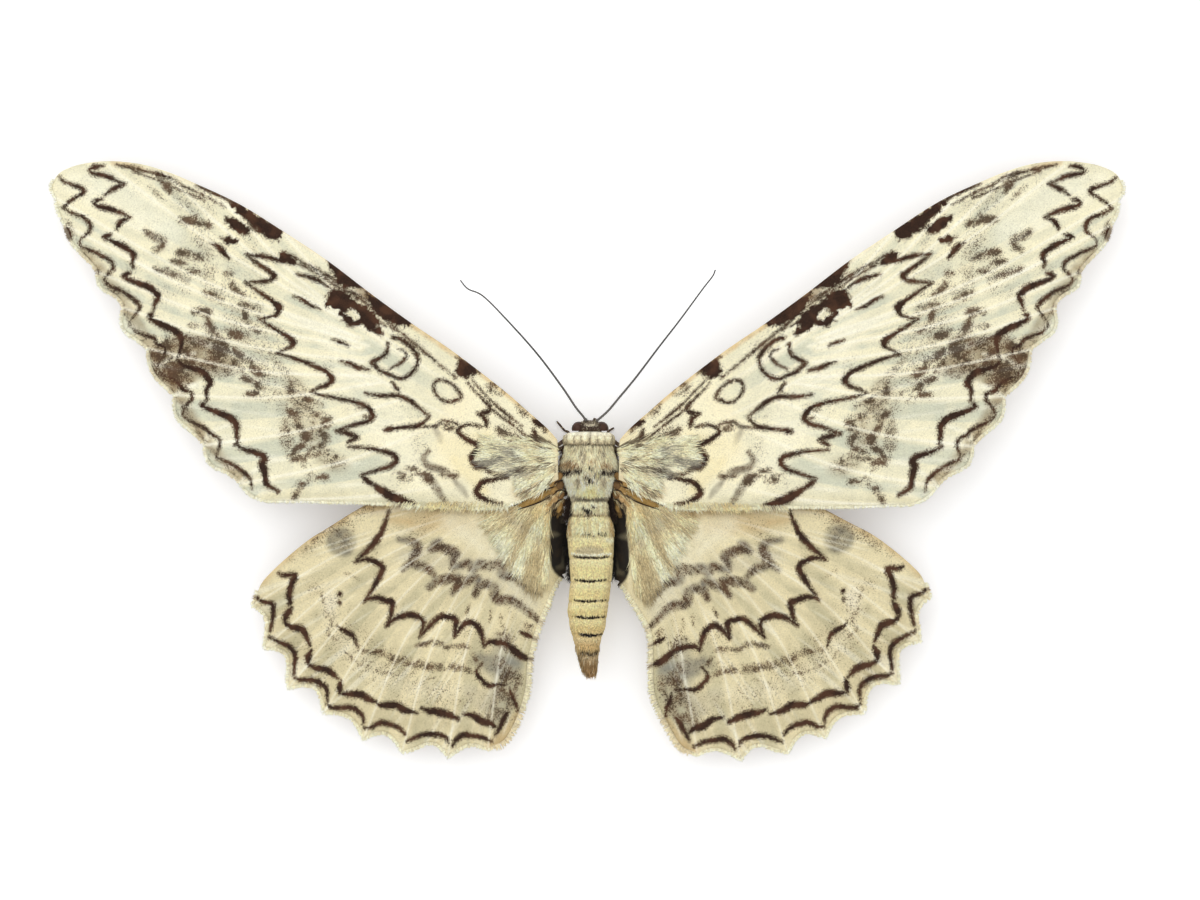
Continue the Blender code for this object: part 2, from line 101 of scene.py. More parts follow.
def smooth(points: Array, steps: int) -> Array:
    """Points on a smooth curve through the given ones, by cubic spans with central slopes.

    Args:
        points: Places on the curve, one to a row.
        steps: New points in each span.

    Returns:
        The finer row of places.
    """
    p = np.asarray(points, float)
    m = np.gradient(p, axis=0)
    t = np.linspace(0.0, 1.0, steps, endpoint=False)[:, None, None]
    start = (2 * t**3 - 3 * t**2 + 1) * p[:-1] + (t**3 - 2 * t**2 + t) * m[:-1]
    end = (3 * t**2 - 2 * t**3) * p[1:] + (t**3 - t**2) * m[1:]
    return np.vstack([(start + end).transpose(1, 0, 2).reshape(-1, p.shape[1]), p[-1:]])


def pairs(flat: tuple[float, ...]) -> Array:
    """Flat row of u, v, u, v as places, one to a row."""
    return np.array(flat, float).reshape(-1, 2)


def gap_to(places: Array, line: Array, half: Array) -> Array:
    """Half width less the distance to a broken line: above zero on the line, below it off the line.

    Args:
        places: Where to measure.
        line: Corners of the broken line.
        half: Half width at each corner, which runs evenly between corners.

    Returns:
        The largest value over the line's lengths, for each place.
    """
    run = line[1:] - line[:-1]
    arm = places[:, None, :] - line[:-1]
    share = np.clip((arm * run).sum(-1) / ((run**2).sum(-1) + TINY), 0.0, 1.0)
    away = np.sqrt(((arm - share[..., None] * run) ** 2).sum(-1))
    return (half[:-1] + share * (half[1:] - half[:-1]) - away).max(axis=1)


def inside(places: Array, corners: Array) -> Array:
    """Even-odd test of places against a closed polygon.

    Args:
        places: Where to test.
        corners: Corners of the polygon.

    Returns:
        True for each place within it.
    """
    found = np.zeros(len(places), bool)
    u, v = places[:, 0], places[:, 1]
    for (au, av), (bu, bv) in zip(corners, np.roll(corners, -1, axis=0)):
        if av != bv:
            found ^= ((v < av) != (v < bv)) & (u < au + (v - av) * (bu - au) / (bv - av))
    return found


def grain(places: Array, size: float, seed: int) -> Array:
    """Soft random field: random values on a square grid of the given size, blended between.

    Args:
        places: Where to read it, as u and v.
        size: Side of the grid's squares in millimetres.
        seed: Number that fixes the field.

    Returns:
        Values between 0 and 1.
    """
    wide = 64
    table = np.random.default_rng(seed).random((wide, wide))
    cell = places / size
    low = np.floor(cell).astype(int)
    t = ramp(cell - low, 0.0, 1.0)
    i, j = low[:, 0] % wide, low[:, 1] % wide
    k, m = (i + 1) % wide, (j + 1) % wide
    near = table[i, j] * (1 - t[:, 0]) + table[k, j] * t[:, 0]
    far = table[i, m] * (1 - t[:, 0]) + table[k, m] * t[:, 0]
    return near * (1 - t[:, 1]) + far * t[:, 1]


def wash(base: Array, colour: Array, share: Array) -> Array:
    """Colours blended towards one colour by a share at each place."""
    return base + (colour - base) * share[:, None]


def make_piece(
    name: str,
    points: Array,
    faces: list[Array],
    uv: Array,
    colour: Array | None = None,
    fields: dict[str, Array] | None = None,
) -> bpy.types.Object:
    """Object from arrays in millimetres, with its UV map OFBake and its point attributes.

    Args:
        name: Name of the piece.
        points: Places of the vertices.
        faces: Rows of vertex numbers, each array with faces of one size.
        uv: Place of each vertex on the UV map, or of each corner of the faces.
        colour: Linear colour of each vertex, kept as ground.
        fields: Other values at each vertex, by name.

    Returns:
        The new object, linked to the scene.
    """
    mesh = bpy.data.meshes.new(name)
    mesh.vertices.add(len(points))
    mesh.vertices.foreach_set("co", (points * MM).astype(np.float32).ravel())
    loops = np.concatenate([f.ravel() for f in faces]).astype(np.int32)
    sizes = np.concatenate([np.full(len(f), f.shape[1]) for f in faces])
    mesh.loops.add(len(loops))
    mesh.loops.foreach_set("vertex_index", loops)
    mesh.polygons.add(len(sizes))
    mesh.polygons.foreach_set("loop_start", (np.cumsum(sizes) - sizes).astype(np.int32))
    mesh.polygons.foreach_set("use_smooth", np.ones(len(sizes), bool))
    mesh.update(calc_edges=True)
    layer = mesh.uv_layers.new(name="OFBake")
    corner_uv = uv if len(uv) == len(loops) else uv[loops]
    layer.data.foreach_set("uv", corner_uv.astype(np.float32).ravel())
    if colour is not None:
        shade = mesh.attributes.new("ground", "FLOAT_COLOR", "POINT")
        full = np.column_stack([np.clip(colour, 0.0, 1.0), np.ones(len(colour))])
        shade.data.foreach_set("color", full.astype(np.float32).ravel())
    for key, values in (fields or {}).items():
        shade = mesh.attributes.new(key, "FLOAT", "POINT")
        shade.data.foreach_set("value", np.asarray(values, np.float32))
    thing = bpy.data.objects.new(name, mesh)
    bpy.context.scene.collection.objects.link(thing)
    return thing


def settle(thing: bpy.types.Object, material: bpy.types.Material, slot: str, *nodes: str) -> None:
    """Dress a piece, let it ride on the moth and let it stand for its CAD nodes.

    Args:
        thing: The piece.
        material: Its finish.
        slot: Slot of the record that it takes its finish from; not used here.
        nodes: CAD nodes that it replaces.
    """
    thing.data.materials.append(material)
    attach(thing, "root")
    if nodes:
        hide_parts(*nodes)
    LOG.info("%s: %d triangles", thing.name, len(thing.data.loops) - 2 * len(thing.data.polygons))


def node(tree: bpy.types.NodeTree, kind: str, inputs: dict | None = None, **settings) -> bpy.types.Node:
    """Add one shader node with its settings and links.

    Args:
        tree: Node tree to add to.
        kind: Type of node, without its prefix ShaderNode.
        inputs: For each input, by name or number, a value or the output to link to it.
        settings: Properties of the node.

    Returns:
        The new node.
    """
    made = tree.nodes.new("ShaderNode" + kind)
    for key, value in settings.items():
        setattr(made, key, value)
    for key, value in (inputs or {}).items():
        if isinstance(value, bpy.types.NodeSocket):
            tree.links.new(value, made.inputs[key])
        else:
            made.inputs[key].default_value = value
    return made


def new_material(name: str) -> tuple[bpy.types.Material, bpy.types.NodeTree, bpy.types.Node]:
    """Start a material.

    Args:
        name: Its name.

    Returns:
        The material, its node tree and its main shader.
    """
    made = bpy.data.materials.new(name)
    made.use_nodes = True
    return made, made.node_tree, made.node_tree.nodes["Principled BSDF"]


def ground_times(tree: bpy.types.NodeTree, value: bpy.types.NodeSocket) -> bpy.types.NodeSocket:
    """Ground colour of the mesh, made lighter or darker.

    Args:
        tree: Node tree to add to.
        value: Output to multiply the colour by.

    Returns:
        Output with the colour.
    """
    ground = node(tree, "Attribute", attribute_name="ground").outputs["Color"]
    return node(tree, "VectorMath", {0: ground, "Scale": value}, operation="SCALE").outputs[0]


def dress(
    shader: bpy.types.Node, colour: bpy.types.NodeSocket, relief: dict, invert: bool, **sockets: float
) -> None:
    """Give the main shader its colour, its fine relief and its constant sockets.

    Args:
        shader: The main shader.
        colour: Output with the colour.
        relief: Inputs of the bump node.
        invert: Whether high values are hollows.
        sockets: Other sockets' values, named with _ in place of a space.
    """
    tree = shader.id_data
    tree.links.new(colour, shader.inputs["Base Color"])
    tree.links.new(node(tree, "Bump", relief, invert=invert).outputs[0], shader.inputs["Normal"])
    for name, value in sockets.items():
        shader.inputs[name.replace("_", " ")].default_value = value


def product_sum(tree: bpy.types.NodeTree, a: Input, b: Input, c: Input, **settings) -> bpy.types.Node:
    """Node for a x b + c."""
    return node(tree, "Math", {0: a, 1: b, 2: c}, operation="MULTIPLY_ADD", **settings)


def rgba(text: str) -> tuple[float, ...]:
    """Linear colour with full alpha, for a shader's socket."""
    return (*linear(text), 1.0)


@dataclass(frozen=True)
class WingScales:
    """Powder of flat overlapping scales on a wing: matt, with dark scales laid among pale ones."""

    name: str = "powder_of_wing_scales"
    scale_length: float = 0.18
    ragged: float = 0.55
    dark: str = "281A12"
    dark_warm: str = "4E3323"
    roughness: float = 0.78

    def make(self) -> bpy.types.Material:
        """Material whose line and dust attributes choose dark scales cell by cell.

        Returns:
            The material. Real scales are 0.1 x 0.2 mm; they are drawn 0.18 mm so that they show.
        """
        made, tree, shader = new_material(self.name)
        place = node(tree, "TexCoord").outputs["Object"]
        per_metre = PER_METRE / self.scale_length
        sums = partial(product_sum, tree)
        cells = node(tree, "TexVoronoi", {"Vector": place, "Scale": per_metre})
        chance = node(tree, "SeparateColor", {"Color": cells.outputs["Color"]})
        noise = node(tree, "TexNoise", {"Vector": place, "Scale": per_metre * 0.7, "Detail": 1.0})
        wobble = sums(noise.outputs["Fac"], self.ragged, -0.5 * self.ragged)
        jitter = sums(chance.outputs["Red"], 0.50, wobble.outputs[0])
        line = node(tree, "Attribute", attribute_name="line")
        edge = node(tree, "Math", {0: line.outputs["Fac"], 1: jitter.outputs[0]}, operation="ADD")
        on_line = node(
            tree, "MapRange", {"Value": edge.outputs[0], "From Min": 0.20, "From Max": 0.34},
            interpolation_type="SMOOTHSTEP",
        )
        dust = node(tree, "Attribute", attribute_name="dust")
        over = node(tree, "Math", {0: dust.outputs["Fac"], 1: chance.outputs["Green"]}, operation="SUBTRACT")
        on_dust = node(tree, "MapRange", {"Value": over.outputs[0], "From Min": -0.06, "From Max": 0.10})
        thin = node(tree, "Math", {0: on_dust.outputs[0], 1: 0.86}, operation="MULTIPLY")
        mask = node(tree, "Math", {0: on_line.outputs[0], 1: thin.outputs[0]}, operation="MAXIMUM")
        drift = node(tree, "TexNoise", {"Vector": place, "Scale": 300.0, "Detail": 1.0})
        warm = node(tree, "MapRange", {"Value": drift.outputs["Fac"], "From Min": 0.45, "From Max": 0.72})
        browner = sums(chance.outputs["Blue"], 0.45, warm.outputs[0], use_clamp=True)
        pair = {"Factor": browner.outputs[0], "A": rgba(self.dark), "B": rgba(self.dark_warm)}
        browns = node(tree, "Mix", pair, data_type="RGBA")
        value = node(tree, "MapRange", {"Value": chance.outputs["Red"], "To Min": 0.86, "To Max": 1.08})
        pale = ground_times(tree, value.outputs[0])
        mixed = {"Factor": mask.outputs[0], "A": pale, "B": browns.outputs["Result"]}
        colour = node(tree, "Mix", mixed, data_type="RGBA")
        relief = {"Height": cells.outputs["Distance"], "Strength": 0.35, "Distance": 0.06 * MM}
        dress(
            shader, colour.outputs["Result"], relief, True,
            Roughness=self.roughness, Specular_IOR_Level=0.16, Sheen_Weight=0.04,
        )
        return made


@dataclass(frozen=True)
class HairScales:
    """Fine hair-scales of dry chitin: matt, softly shining, each strand its own shade."""

    name: str = "hair_scales"
    strand: float = 0.12
    spread: float = 0.22
    roughness: float = 0.80

    def make(self) -> bpy.types.Material:
        """Material from the ground attribute with fine light and dark streaks.

        Returns:
            The material. Real hairs are 0.02 mm wide; streaks are drawn 0.1 to 0.5 mm wide so that
            they show.
        """
        made, tree, shader = new_material(self.name)
        place = node(tree, "TexCoord").outputs["Object"]
        scale = PER_METRE / self.strand / 4.0
        noise = node(tree, "TexNoise", {"Vector": place, "Scale": scale, "Detail": 3.0})
        span = {"From Min": 0.3, "From Max": 0.7}
        span |= {"To Min": 1.0 - self.spread, "To Max": 1.0 + 0.6 * self.spread}
        value = node(tree, "MapRange", {"Value": noise.outputs["Fac"]} | span)
        relief = {"Height": noise.outputs["Fac"], "Strength": 0.4, "Distance": 0.08 * MM}
        dress(
            shader, ground_times(tree, value.outputs[0]), relief, False,
            Roughness=self.roughness, Specular_IOR_Level=0.14, Sheen_Weight=0.05,
        )
        return made


# Lines and spots of the wings. A place given twice in a row is a sharp corner of the line.


@dataclass(frozen=True)
class Stroke:
    """Dark line on a wing: its width and its path as u, v, u, v and so on."""

    width: float
    path: tuple[float, ...]
    even: bool = False

    def runs(self) -> list[tuple[Array, Array]]:
        """Smooth lengths between sharp corners, each with its half widths.

        Returns:
            Pairs of a line and its half width, width x (0.42 + 0.7 sin(pi t) ^ 1.2) / 2, less on short
            lengths.
        """
        p = pairs(self.path)
        same = np.flatnonzero((np.diff(p, axis=0) == 0).all(axis=1))
        found = []
        for part in np.split(p, same + 1):
            line = smooth(part, 4) if len(part) > 1 else np.vstack([part, part + 0.01])
            t = np.linspace(0.0, 1.0, len(line))
            swell = np.ones(len(t)) if self.even else 0.42 + 0.7 * np.sin(math.pi * t) ** 1.2
            full = min(1.0, 0.5 + np.hypot(*np.diff(part, axis=0).T).sum() / 8.0)
            found.append((line, 0.5 * self.width * (1.0 if self.even else full) * swell))
        return found

    def gap(self, places: Array) -> Array:
        """Largest gap value of the stroke's lengths at each place."""
        return np.max([gap_to(places, line, half) for line, half in self.runs()], axis=0)


@dataclass(frozen=True)
class Blot:
    """Dark spot with a drawn outline as u, v, u, v and so on."""

    path: tuple[float, ...]

    def gap(self, places: Array) -> Array:
        """Distance to the outline.

        Args:
            places: Where to measure.

        Returns:
            The distances, above zero within the outline and below zero outside.
        """
        corners = smooth(np.vstack([pairs(self.path), self.path[:2]]), 3)
        away = -gap_to(places, corners, np.zeros(len(corners)))
        return np.where(inside(places, corners), away, -away)


@dataclass(frozen=True)
class Dust:
    """Scattered dark scales over a stroke or a blot, thinning out over a soft edge."""

    share: float
    soft: float
    shape: Stroke | Blot


@dataclass(frozen=True)
class Tint:
    """Soft patch of another ground colour over a stroke or a blot."""

    colour: str
    share: float
    soft: float
    shape: Stroke | Blot


def strokes(*rows: tuple[float, ...], even: bool = False) -> tuple[Stroke, ...]:
    """Strokes from rows that each hold a width and then the path."""
    return tuple(Stroke(row[0], row[1:], even) for row in rows)


def dusting(share: float, soft: float, width: float, *path: float) -> Dust:
    """Dust over a stroke."""
    return Dust(share, soft, Stroke(width, path))


def stain(colour: str, share: float, soft: float, width: float, *path: float) -> Tint:
    """Tint over a stroke that swells in the middle."""
    return Tint(colour, share, soft, Stroke(width, path))


def strip(colour: str, share: float, soft: float, width: float, *path: float) -> Tint:
    """Tint over a stroke of even width."""
    return Tint(colour, share, soft, Stroke(width, path, True))


def paint(places: Array, shape: Stroke | Blot, reach: float) -> tuple[Array, Array]:
    """Gap values of a shape, only at the places near it.

    Args:
        places: All places.
        shape: The stroke or blot.
        reach: How far beyond the shape's box to look.

    Returns:
        Numbers of the near places and their values.
    """
    box = pairs(shape.path)
    near = ((places > box.min(0) - reach) & (places < box.max(0) + reach)).all(axis=1)
    found = np.flatnonzero(near)
    return found, shape.gap(places[found]) if len(found) else np.zeros(0)


FOREWING_STROKES = strokes(
    # Thin line near the outer edge
    (0.8, 132.7, 70.4, 131.4, 69.3, 129.5, 68.5, 127.4, 67.7, 126.4, 66.8, 127.5, 65.8, 129.1, 64.9, 130.7,
     63.6, 131.7, 62.8, 131.7, 62.8, 130.1, 61.7, 128.2, 60.9, 126.4, 60.2, 125.2, 59.1, 124.7, 57.9, 125.2,
     56.4, 126.6, 55.3, 127.5, 54.4, 127.5, 54.4, 127.2, 53.2, 125.8, 52.4, 123.7, 51.6, 121.8, 50.5, 120.2,
     49.7, 119.3, 48.8, 119, 47.7, 119.6, 46.7, 120.7, 45.6, 121.3, 44.5, 121.3, 44.5, 120.5, 43.5, 118.9,
     42.6, 116.7, 41.8, 115.1, 40.7, 113.5, 39.4, 112.4, 38.1, 112.6, 37, 113.7, 35.6, 115, 34, 115, 34,
     114.5, 32.7, 112.9, 31.4, 110.7, 30.6, 108.8, 30, 108, 28.6, 106.2, 27.8, 105.9, 26.4, 107.3, 24.3,
     108, 22.6, 108, 22.6, 106.9, 21.2, 104.8, 20.1, 102.7, 18.7, 101.4, 17.1, 99.5, 16.4, 99.4, 14.8, 101,
     12.7, 101.6, 11, 101.6, 11, 100.6, 9.7, 98.1, 8.5, 95.7, 7.3, 94.6, 6, 92.9, 5.2, 92.2, 3.6, 92.9, 1.2,
     92.9, -0.1, 92.9, -0.1, 90.1, -1.1, 87.3, -2.7, 85.7, -4.1, 84.5, -5.5, 84.3, -7.6),
    # Bold line before it, broken at the folds
    (0.95, 121.5, 73.1, 123.7, 72.8, 125.3, 72.2, 125.3, 72.2, 124.4, 71.4, 122.1, 70.9, 119.9, 70.3, 118,
     69.3, 115.9, 68.6, 115.9, 68.6, 117.7, 67.9, 119.4, 67.1, 121.3, 65.8),
    (1.1, 121.8, 64.9, 124, 64.2, 124, 64.2, 123.4, 63.3, 121.8, 62.8, 119.3, 62.2, 116.7, 61.2, 114.6,
     60.2, 114.6, 60.2, 116.7, 59.5, 117.7, 58.3, 118, 57.2),
    (1.25, 119.3, 56, 121.7, 55.3, 121.7, 55.3, 119.9, 54.5, 117.4, 53.4, 115.1, 52.1, 113.7, 50.7, 114.2,
     49, 114, 47.7),
    (1.35, 114.8, 46.2, 116.6, 45.6, 116.6, 45.6, 115.1, 44.6, 112.6, 43.7, 110, 42.7, 108.3, 41.3, 107.6,
     40.3, 108.4, 38.8, 108.8, 37),
    (1.5, 109.1, 36, 110.2, 35.3, 110.2, 35.3, 109.1, 34.5, 106.5, 33.3, 104, 32.1, 102, 30.3, 102, 28.2,
     102.5, 25.4),
    (1.5, 103, 24.7, 103, 24.7, 101.6, 23.3, 99.2, 22.4, 96.4, 21.5, 95, 19.7, 94.6, 18.7, 95.5, 17.3, 95.5,
     14.5),
    (1.6, 96, 13.8, 96.9, 13.1, 96.9, 13.1, 95, 12.2, 91.8, 11, 89.4, 9.9, 88.1, 8.3, 88, 6.4, 87.8, 4),
    (1.5, 88.3, 3.3, 88.3, 3.3, 86.2, 2.2, 83, 1.2, 81, 0.1, 81.6, -1.6, 81, -3.4, 80.6, -6.2, 79.5, -7.3,
     77.6, -8.3),
    # Line across the middle, from the hook to the rear edge
    (0.95, 73, 48.5, 75.1, 48.8, 77.5, 49.5, 80.3, 50.2, 82.8, 50.6, 85.6, 50.9, 85.6, 50.9, 83.9, 49.5,
     81.8, 48, 80.4, 47.1, 78.6, 45.7, 79.6, 44.5, 82.5, 44.1, 86, 43.9, 86, 43.9, 83.9, 42.5, 81.4, 40.8,
     79.3, 39.4, 77.5, 37.8, 77.9, 35.9, 79.6, 35.3, 82.4, 34.7, 82.4, 34.7, 80.2, 33.4, 77.2, 31.5, 74.5,
     30, 73.5, 28.7, 74.8, 27.5, 78.1, 26.2, 78.1, 26.2, 75.3, 25.5, 71.8, 24.3, 67.9, 22.7, 65.4, 21.5, 64,
     19.7, 65.1, 18.4, 67.3, 17.6, 69.5, 16.5, 69.5, 16.5, 66.7, 15.7, 62.5, 14.9, 58.4, 14, 55.8, 13, 54.2,
     11.7, 53.9, 10.2, 55.8, 9, 59, 8.2, 61.6, 7.3, 63.2, 6.8, 63.2, 6.8, 60.9, 6.3, 59, 5.7, 57.4, 5.2,
     57.4, 5.2, 59, 4.6, 60.2, 3.9),
    (1, 60, 2.8, 56.1, 2.5, 52, 1.9, 49.2, 1, 48, 0, 48.5, -1.4, 50.5, -2.4, 54, -3.4, 57, -4.3, 57, -4.3,
     55.3, -5.7, 52.2, -7.8),
    (1.9, 54, -6.6, 52.2, -7.8, 49.3, -9.5, 46.3, -10.8, 43.8, -11.5),
    (1.7, 79.6, 46.6, 78.6, 45.7, 79.1, 44.9),
    (1.9, 79, 39.1, 77.5, 37.8, 77.7, 36.3),
    (1.6, 75.6, 30.7, 73.9, 29, 74.2, 27.9),
    (1.5, 65.6, 21.6, 64.1, 19.9, 64.8, 18.7),
    (1.5, 55.8, 13, 54.4, 11.7, 54.1, 10.2),
    # Inner line, and the two rings
    (0.9, 55.9, 16.2, 53.7, 15.8, 51.5, 15.5, 48.5, 15.6, 45.6, 14.9, 43.4, 13.4, 41.2, 11.6, 39.7, 10.5,
     39.7, 10.5, 41.2, 9, 43, 7.9, 47.4, 7.6, 50.4, 7),
    (1.2, 48.4, 7.6, 51, 7),
    (0.45, 36.4, 9.4, 37.8, 8.2, 39.4, 7.9, 43, 7.7),
    (0.8, 49, 19, 48.2, 17.6, 47, 16.5),
    (0.6, 47.4, 27.4, 46, 26.7, 45.4, 25.6, 46, 24.8, 47.4, 23.4, 49.6, 22.4),
    # Dashes on the folds
    (0.9, 62.1, 24.3, 59.9, 23.7, 58.1, 22.8, 54.8, 21.9),
    (0.7, 63.9, 29.5, 62.1, 29, 60, 28.1),
    (0.8, 73.7, 40.6, 71.6, 39.7, 69.8, 38.3, 67, 37.3),
    (0.8, 73, 45.9, 69.8, 45.2, 66.7, 43.9, 64.2, 42.2),
    # Line near the base
    (1, 25.5, 14.2, 24.7, 12.7, 24.2, 12.2, 24.2, 12.2, 25.5, 11.4, 27.7, 11.1, 27.7, 11.1, 26.2, 10.1,
     25.5, 8.7, 25.5, 7.8),
    (1.1, 26.9, 7.8, 29.9, 8.3, 31.7, 7.8, 32.8, 6.8, 31.7, 5.7, 29.9, 4.3, 27.7, 3.4, 27.3, 2.8, 28.4, 1.3,
     29.3, 0, 28.9, -1.2, 27.7, -2.3, 25.5, -2.7, 23.6, -4, 20.7, -4.2, 20.2, -5.1),
    (1.3, 20.7, -4.9, 23.6, -5.3, 26.5, -6.2, 27.8, -7.7, 27.8, -8.9, 26.5, -10, 24.4, -11.1, 21.8, -11.5),
    (0.4, 31.7, 7.9, 34, 9, 36.4, 9.4),
    (0.45, 30.2, 18.9, 29.1, 17.5, 26.9, 15.3, 24.4, 12.5, 19, 8.2, 12.1, 3),
    (0.4, 29.2, 19.6, 27.8, 17.8, 25.6, 15.6, 22, 12.2, 16.5, 7.8),
    # Front edge: streak and band near the tip
    (0.55, 118.2, 73.4, 114.8, 72.7, 109.7, 71.5, 104.9, 70.2, 102.4, 68.8),
    (0.8, 98, 68.2, 93.2, 66.1, 88, 63.4),
    (1.2, 94, 53.6, 92.5, 52.8, 91.3, 51.5, 90, 49.9),
    # Edge lobes' dark scallops
    (1.1, 131, 58.2, 130, 56.2, 129.7, 54.6),
    (1, 123.3, 47.3, 122.6, 46.2),
    # Spots at the base
    (1.4, 11.9, 0, 10.8, -0.2),
    (1.6, 9.4, -2.8, 8.6, -3),
    (1, 14.8, 1.3, 13.9, 1.1),
    (1.8, 13.7, 9.2, 12.3, 8.7, 11.2, 8),
    (0.8, 13.7, 7.2, 13, 5, 11.5, 3.2),
) + strokes(
    (0.85, 48.7, 30.1, 46.7, 29.6, 44.5, 27.8, 43, 25.9, 42.7, 24.1, 43.4, 22.3, 45.2, 20.4, 47.6, 19.9,
     49.6, 20.8, 51.8, 21.7, 53.9, 23.4, 53.9, 24.1, 52.2, 25, 50.9, 25.7, 50.2, 27.2, 50.2, 28.5),
    (0.55, 38.6, 18.6, 37.9, 19.3, 36.6, 19.6, 35, 19, 33.5, 17.9, 32.4, 16.6, 31.9, 15.1, 33.1, 14.5, 34.8,
     13.9, 36.4, 14.4, 37.9, 15.6, 38.6, 17.1, 38.6, 18.5),
    (1.5, 59.6, 33.7, 58, 33.8, 56.4, 34.3),
    (0.35, 74.6, 50.9, 68, 46.9, 63.2, 44.1, 56.8, 39.6, 50.5, 34.4, 42.7, 27.9, 33.2, 20.1),
    (0.35, 72, 48.6, 66, 44.9, 62, 42.3, 55, 38.3, 48.5, 32.2),
    (0.3, 70, 48.4, 65, 45.6, 60, 42.2, 55, 39.2),
    (0.22, 114, 71.8, 108, 69.6, 102, 67, 96, 64.4),
    (0.22, 108, 70.9, 102, 68.3, 96, 65.6, 91, 62.9),
    even=True,
)
# Broken strokes between the lines, of scattered dark scales
FOREWING_STIPPLE = strokes(
    (1.3, 102, 59.5, 98.6, 59.2, 95, 58.2),
    (0.7, 98.6, 59, 98.2, 60.7),
    (0.8, 111, 56.7, 108.6, 55.4, 106.5, 54.7, 106.4, 53.2, 108.4, 51.8),
    (1.2, 102.7, 51.5, 99.5, 50.8, 96.3, 49.7),
    (0.6, 104, 49.1, 101, 48.9),
    (0.7, 108.4, 47.4, 104.8, 46.2, 101, 44.8),
    (0.6, 101.6, 46.9, 97.6, 46.7),
    (1.9, 90.5, 46.6, 90, 45.9),
    (0.7, 89.4, 44, 88.8, 42.5, 86.3, 40.8),
    (0.8, 87.4, 38.3, 85.6, 37.8, 83.9, 37.6),
    (0.6, 86.3, 36.9, 85.9, 35.5, 85.3, 34.1, 82.5, 31.6),
    (0.9, 96.1, 41.5, 94, 40.5, 91.6, 39.9),
    (0.8, 98.6, 36.7, 96.8, 36.8, 95, 36.5, 96, 35.9, 94.4, 33.3),
    (1.8, 90.2, 31.6, 88.6, 31.1, 87, 30.6),
    (0.9, 88.6, 27, 87.4, 25.8, 86, 25, 84.5, 24),
    (1.4, 84.2, 22.8, 82.6, 21.2, 80.4, 20.2),
    (0.9, 86.4, 20, 84, 19.3, 82.5, 18.3, 82, 17, 83.5, 16, 85.5, 15.9),
    (0.7, 83, 15.8, 81, 15.3, 80, 14.6),
    (0.9, 74.3, 18.7, 74.2, 16.8, 71, 15, 67, 13.5),
    (1.3, 75.2, 12.7, 74.3, 11.4, 73, 10.2, 72.2, 7.9, 70.5, 5.7, 70.8, 4.4, 71.8, 3.1, 73.7, 1.6, 74.6,
     0.5),
    (1.5, 68.9, 10.8, 66, 10.2, 65.4, 8.9, 66.7, 7, 66, 5.1, 66.7, 3.8, 68.6, 2.5, 70.2, 1.2),
    (0.9, 74.3, -0.2, 71.8, -0.3, 71.1, -1.6, 69.8, -3.2, 68.6, -4.6, 65.4, -5),
    (0.7, 69.2, -5.1, 71.8, -6.4, 73, -8.3, 73.7, -10.2),
    (0.6, 70.5, 0.9, 67.5, 1.4, 65, 1.2, 63.5, 0.3),
    (1.6, 41.4, -4, 40.2, -4.9, 39.2, -5.8),
    (0.9, 48.2, -4.2, 44.6, -4.9),
    (0.6, 45.2, -2.7, 41.4, -4),
    (0.8, 36.8, -3.9, 33.2, -4.4),
    (1.2, 36, 8, 33.8, 7.4),
    (2.2, 57, 13, 54.8, 11.6, 55.2, 10),
    (1.6, 22.4, 7.4, 19.4, 5.4, 16.6, 3.6),
    (1, 15, 2, 13.6, 0.8, 13.4, -0.4),
    (1.2, 12.6, 10.4, 11, 8.6, 10.8, 7.2),
)
FOREWING_BLOTS = tuple(Blot(path) for path in (
    (90.5, 65, 88, 63.9, 81, 59.9, 76.5, 56.9, 77.5, 54.6, 79.3, 54.6, 82, 56.2, 85, 58.8, 87, 60.5, 89,
     62.5),
    (91, 60.3, 88.5, 59.7, 85, 57.8, 84.5, 56.6, 86.5, 55.9, 88.5, 56.8, 90, 58.4),
    (92.2, 54.9, 90, 55.4, 87.8, 54.2, 90, 53.3),
    (76, 51.6, 74, 49.9, 73, 48.5, 75.1, 48.8, 77.5, 49.5, 77.6, 50.8),
    (65.4, 49.6, 60.4, 47.4, 55.2, 43.9, 56.2, 42.2, 58.4, 42.4, 60.8, 42.8, 63.6, 45.2),
    (55.4, 41.6, 50.5, 38.8, 43.8, 33.8, 47, 33, 49.2, 33.8, 51.6, 34.9, 54.6, 38.2),
    (66.2, 38, 64.4, 42, 61.7, 41.9, 58.2, 39.4, 54.6, 37, 50.4, 33, 52.6, 33.4, 51, 30.9, 53.4, 31.2, 56.4,
     33.4, 57.2, 35.2, 58, 36.6, 58.8, 37.4, 60.2, 37.3, 60.6, 36.3, 59.6, 35.4, 58.6, 34.6, 59.5, 33, 61.9,
     34.9, 62.7, 36.9),
    (32.4, 25.7, 27.1, 21.7, 29.1, 20.8, 29.9, 19.9, 31, 20, 33.2, 21.5, 32.8, 24.8),
))
